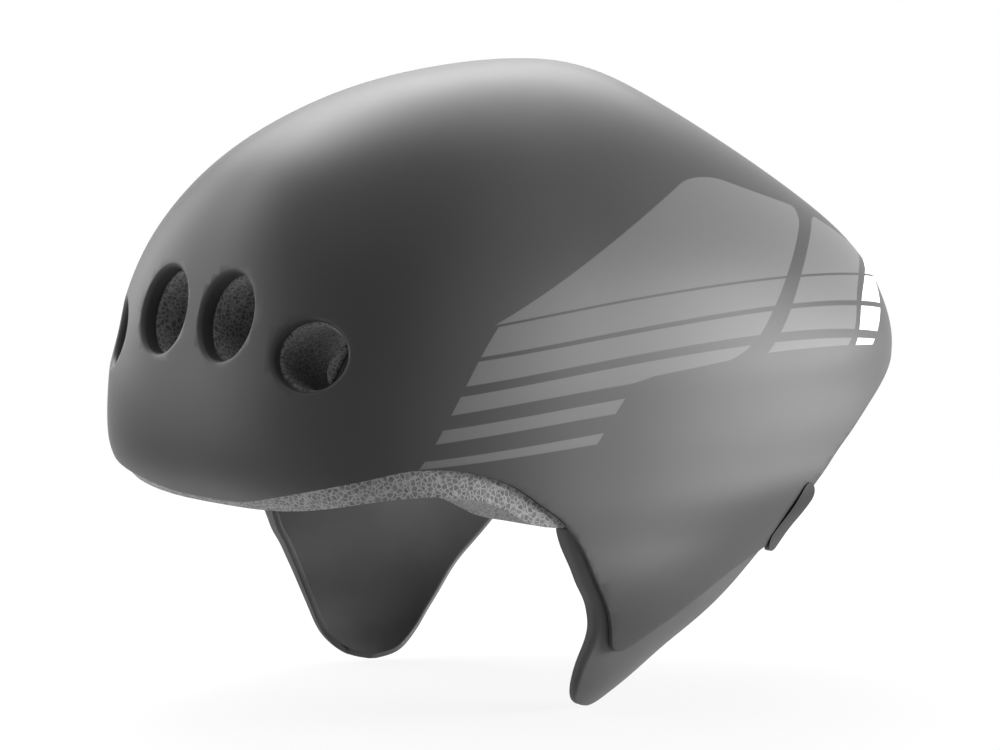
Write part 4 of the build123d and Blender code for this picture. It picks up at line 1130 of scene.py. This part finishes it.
class HELMET_OT_flaps(bpy.types.Operator):
    """Models the ear flaps and finishes their rivets"""

    bl_idname = "helmet.flaps"
    bl_label = "Ear flaps"

    def execute(self, context):
        settings = context.scene.helmet
        plastic = moulded_plastic("flap_plastic", settings.flap_grey, 0.5, 1.2, specular=0.15)
        form = OuterForm(settings.shell_wall / MM + FLAP_GAP)
        flap = new_piece("left_flap", flap_mesh(form), plastic, "helmet")
        modify(flap, "SOLIDIFY", **walled(settings.flap_wall, -1.0))
        modify(flap, "SUBSURF", levels=2, render_levels=2)
        finish(flap)
        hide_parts("left_ear_flap")
        bm = bmesh.new()
        bm.from_mesh(flap.data)
        other = new_piece("right_flap", mirror_copy(bm), plastic, "helmet")
        bm.free()
        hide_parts("right_ear_flap")
        dress(moulded_plastic("rivet_plastic", 0.02, 0.5), "flap_rivets")
        return {"FINISHED"}


class HELMET_OT_tabs(bpy.types.Operator):
    """Finishes the dark edge tabs"""

    bl_idname = "helmet.tabs"
    bl_label = "Edge tabs"

    def execute(self, context):
        plastic = moulded_plastic("tab_plastic", 0.02, 0.38, 0.8, 0.00001, specular=0.14)
        dress(plastic, "left_edge_tab", "right_edge_tab")
        return {"FINISHED"}


class HELMET_OT_fit(bpy.types.Operator):
    """Finishes the fit system, the buckle and the fixings"""

    bl_idname = "helmet.fit"
    bl_label = "Fit system"

    def execute(self, context):
        nylon = moulded_plastic("fit_nylon", 0.022, 0.5, 1.6)
        dress(
            nylon, "left_fit_belt", "right_fit_belt", "dial_pinion", "ratchet_spring",
            "nape_cradle",
        )
        black = moulded_plastic("hard_black", 0.016, 0.42, 1.1)
        dress(
            black, "dial_housing_front", "dial_housing_back", "slider_clip", "left_temple_keeper",
            "right_temple_keeper", "strap_anchors", "left_strap_divider", "right_strap_divider",
            "buckle_socket", "buckle_plug",
        )
        bloom = (0.02, 0.045), (0.62, 0.2), (2.2, 3.0), (0.00004, 0.7)
        dress(grained("knob_rubber", *bloom, sheen=0.1), "dial_knob")
        wear = (0.08, 0.3), (0.28, 0.25), (0.9, 4.0), (0.00002, 0.5)
        dress(grained("blackened_steel", *wear, metallic=1.0), "housing_screws")
        dress(hook_tape(), "hook_discs")
        return {"FINISHED"}


class HELMET_OT_pads(bpy.types.Operator):
    """Models the padded cloth pads"""

    bl_idname = "helmet.pads"
    bl_label = "Comfort pads"

    def execute(self, context):
        settings = context.scene.helmet
        looks = pad_cloth(settings), settings.pad_swell

        def inset(share):
            return PAD_BACK + (PAD_FRONT - PAD_BACK) * share

        def brow(across, up, share):
            return head_point(across, -1, BROW_HEIGHT + up, inset(share), "y")

        comfort_pad("brow_pad", BROW_PAD, brow, *looks)
        for name, centre in CROWN_PLACES.items():

            def crown(across, up, share):
                return head_point(across, centre + up, 0, inset(share), "z")

            comfort_pad(name, CROWN_PAD, crown, *looks)
        for name, sign in (("left", 1), ("right", -1)):
            flip = Vector((sign, 1, 1))

            def temple(across, up, share):
                y, z = TEMPLE_PLACE
                return head_point(0, y + across, z + up, inset(share), "x") * flip

            def cradle(across, up, share):
                return cradle_point(across, up, CRADLE_WALL * share) * flip

            comfort_pad(name + "_temple_pad", TEMPLE_PAD, temple, *looks)
            comfort_pad(name + "_cradle_pad", CRADLE_PAD, cradle, *looks, "cradle")
        return {"FINISHED"}


class HELMET_OT_webbing(bpy.types.Operator):
    """Models the woven straps"""

    bl_idname = "helmet.webbing"
    bl_label = "Webbing"

    def execute(self, context):
        settings = context.scene.helmet
        weave = woven_webbing(settings)
        corners = {"limit_method": "ANGLE", "angle_limit": 1.0}
        strips = {
            "front_strap": side_strap(STRAP_FEET["front_strap"], -1),
            "rear_strap": side_strap(STRAP_FEET["rear_strap"], 1),
            "chin_strap": chin_strap(),
        }
        for name, strip in strips.items():
            for side, bm in (("right_", mirror_copy(strip)), ("left_", strip)):
                piece = new_piece(side + name + "_weave", bm, weave, "helmet")
                modify(piece, "SOLIDIFY", **walled(settings.webbing_wall, 0.0))
                modify(piece, "BEVEL", width=WEBBING_EDGE * MM, segments=2, **corners)
                finish(piece, EDGE_ANGLE)
                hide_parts(side + name)
        return {"FINISHED"}


class HELMET_OT_studio(bpy.types.Operator):
    """Sets up the floor, the lamps and the camera"""

    bl_idname = "helmet.studio"
    bl_label = "Studio"

    def execute(self, context):
        context.scene.view_settings.view_transform = "Standard"
        studio_floor()
        studio_world(context.scene)
        photo_camera(context.scene)
        for name, (place, size) in LAMPS.items():
            studio_lamp(context.scene, name, place, size)
        return {"FINISHED"}


def dress(material, *nodes):
    """Gives CAD nodes a material in place of their own."""
    for name in nodes:
        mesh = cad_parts[name].data
        mesh.materials.clear()
        mesh.materials.append(material)


class HELMET_PT_panel(bpy.types.Panel):
    """The helmet's steps and settings"""

    bl_idname = "HELMET_PT_panel"
    bl_label = "Aero helmet"
    bl_space_type = "VIEW_3D"
    bl_region_type = "UI"
    bl_category = "Helmet"

    def draw(self, context):
        column = self.layout.column()
        for operator in OPERATORS:
            column.operator(operator.bl_idname)
        for group in (context.scene.helmet, context.scene.studio):
            for name in group.bl_rna.properties.keys():
                if name not in {"rna_type", "name"}:
                    column.prop(group, name)


OPERATORS = (
    HELMET_OT_studio,
    HELMET_OT_shell,
    HELMET_OT_foam,
    HELMET_OT_flaps,
    HELMET_OT_tabs,
    HELMET_OT_pads,
    HELMET_OT_webbing,
    HELMET_OT_fit,
)
CLASSES = (HelmetSettings, StudioSettings) + OPERATORS + (HELMET_PT_panel,)


def register():
    for item in CLASSES:
        bpy.utils.register_class(item)
    bpy.types.Scene.helmet = bpy.props.PointerProperty(type=HelmetSettings)
    bpy.types.Scene.studio = bpy.props.PointerProperty(type=StudioSettings)


def unregister():
    del bpy.types.Scene.studio
    del bpy.types.Scene.helmet
    for item in reversed(CLASSES):
        bpy.utils.unregister_class(item)


def main():
    register()
    for operator in OPERATORS:
        group, name = operator.bl_idname.split(".")
        getattr(getattr(bpy.ops, group), name)()


if __name__ == "__main__":
    main()
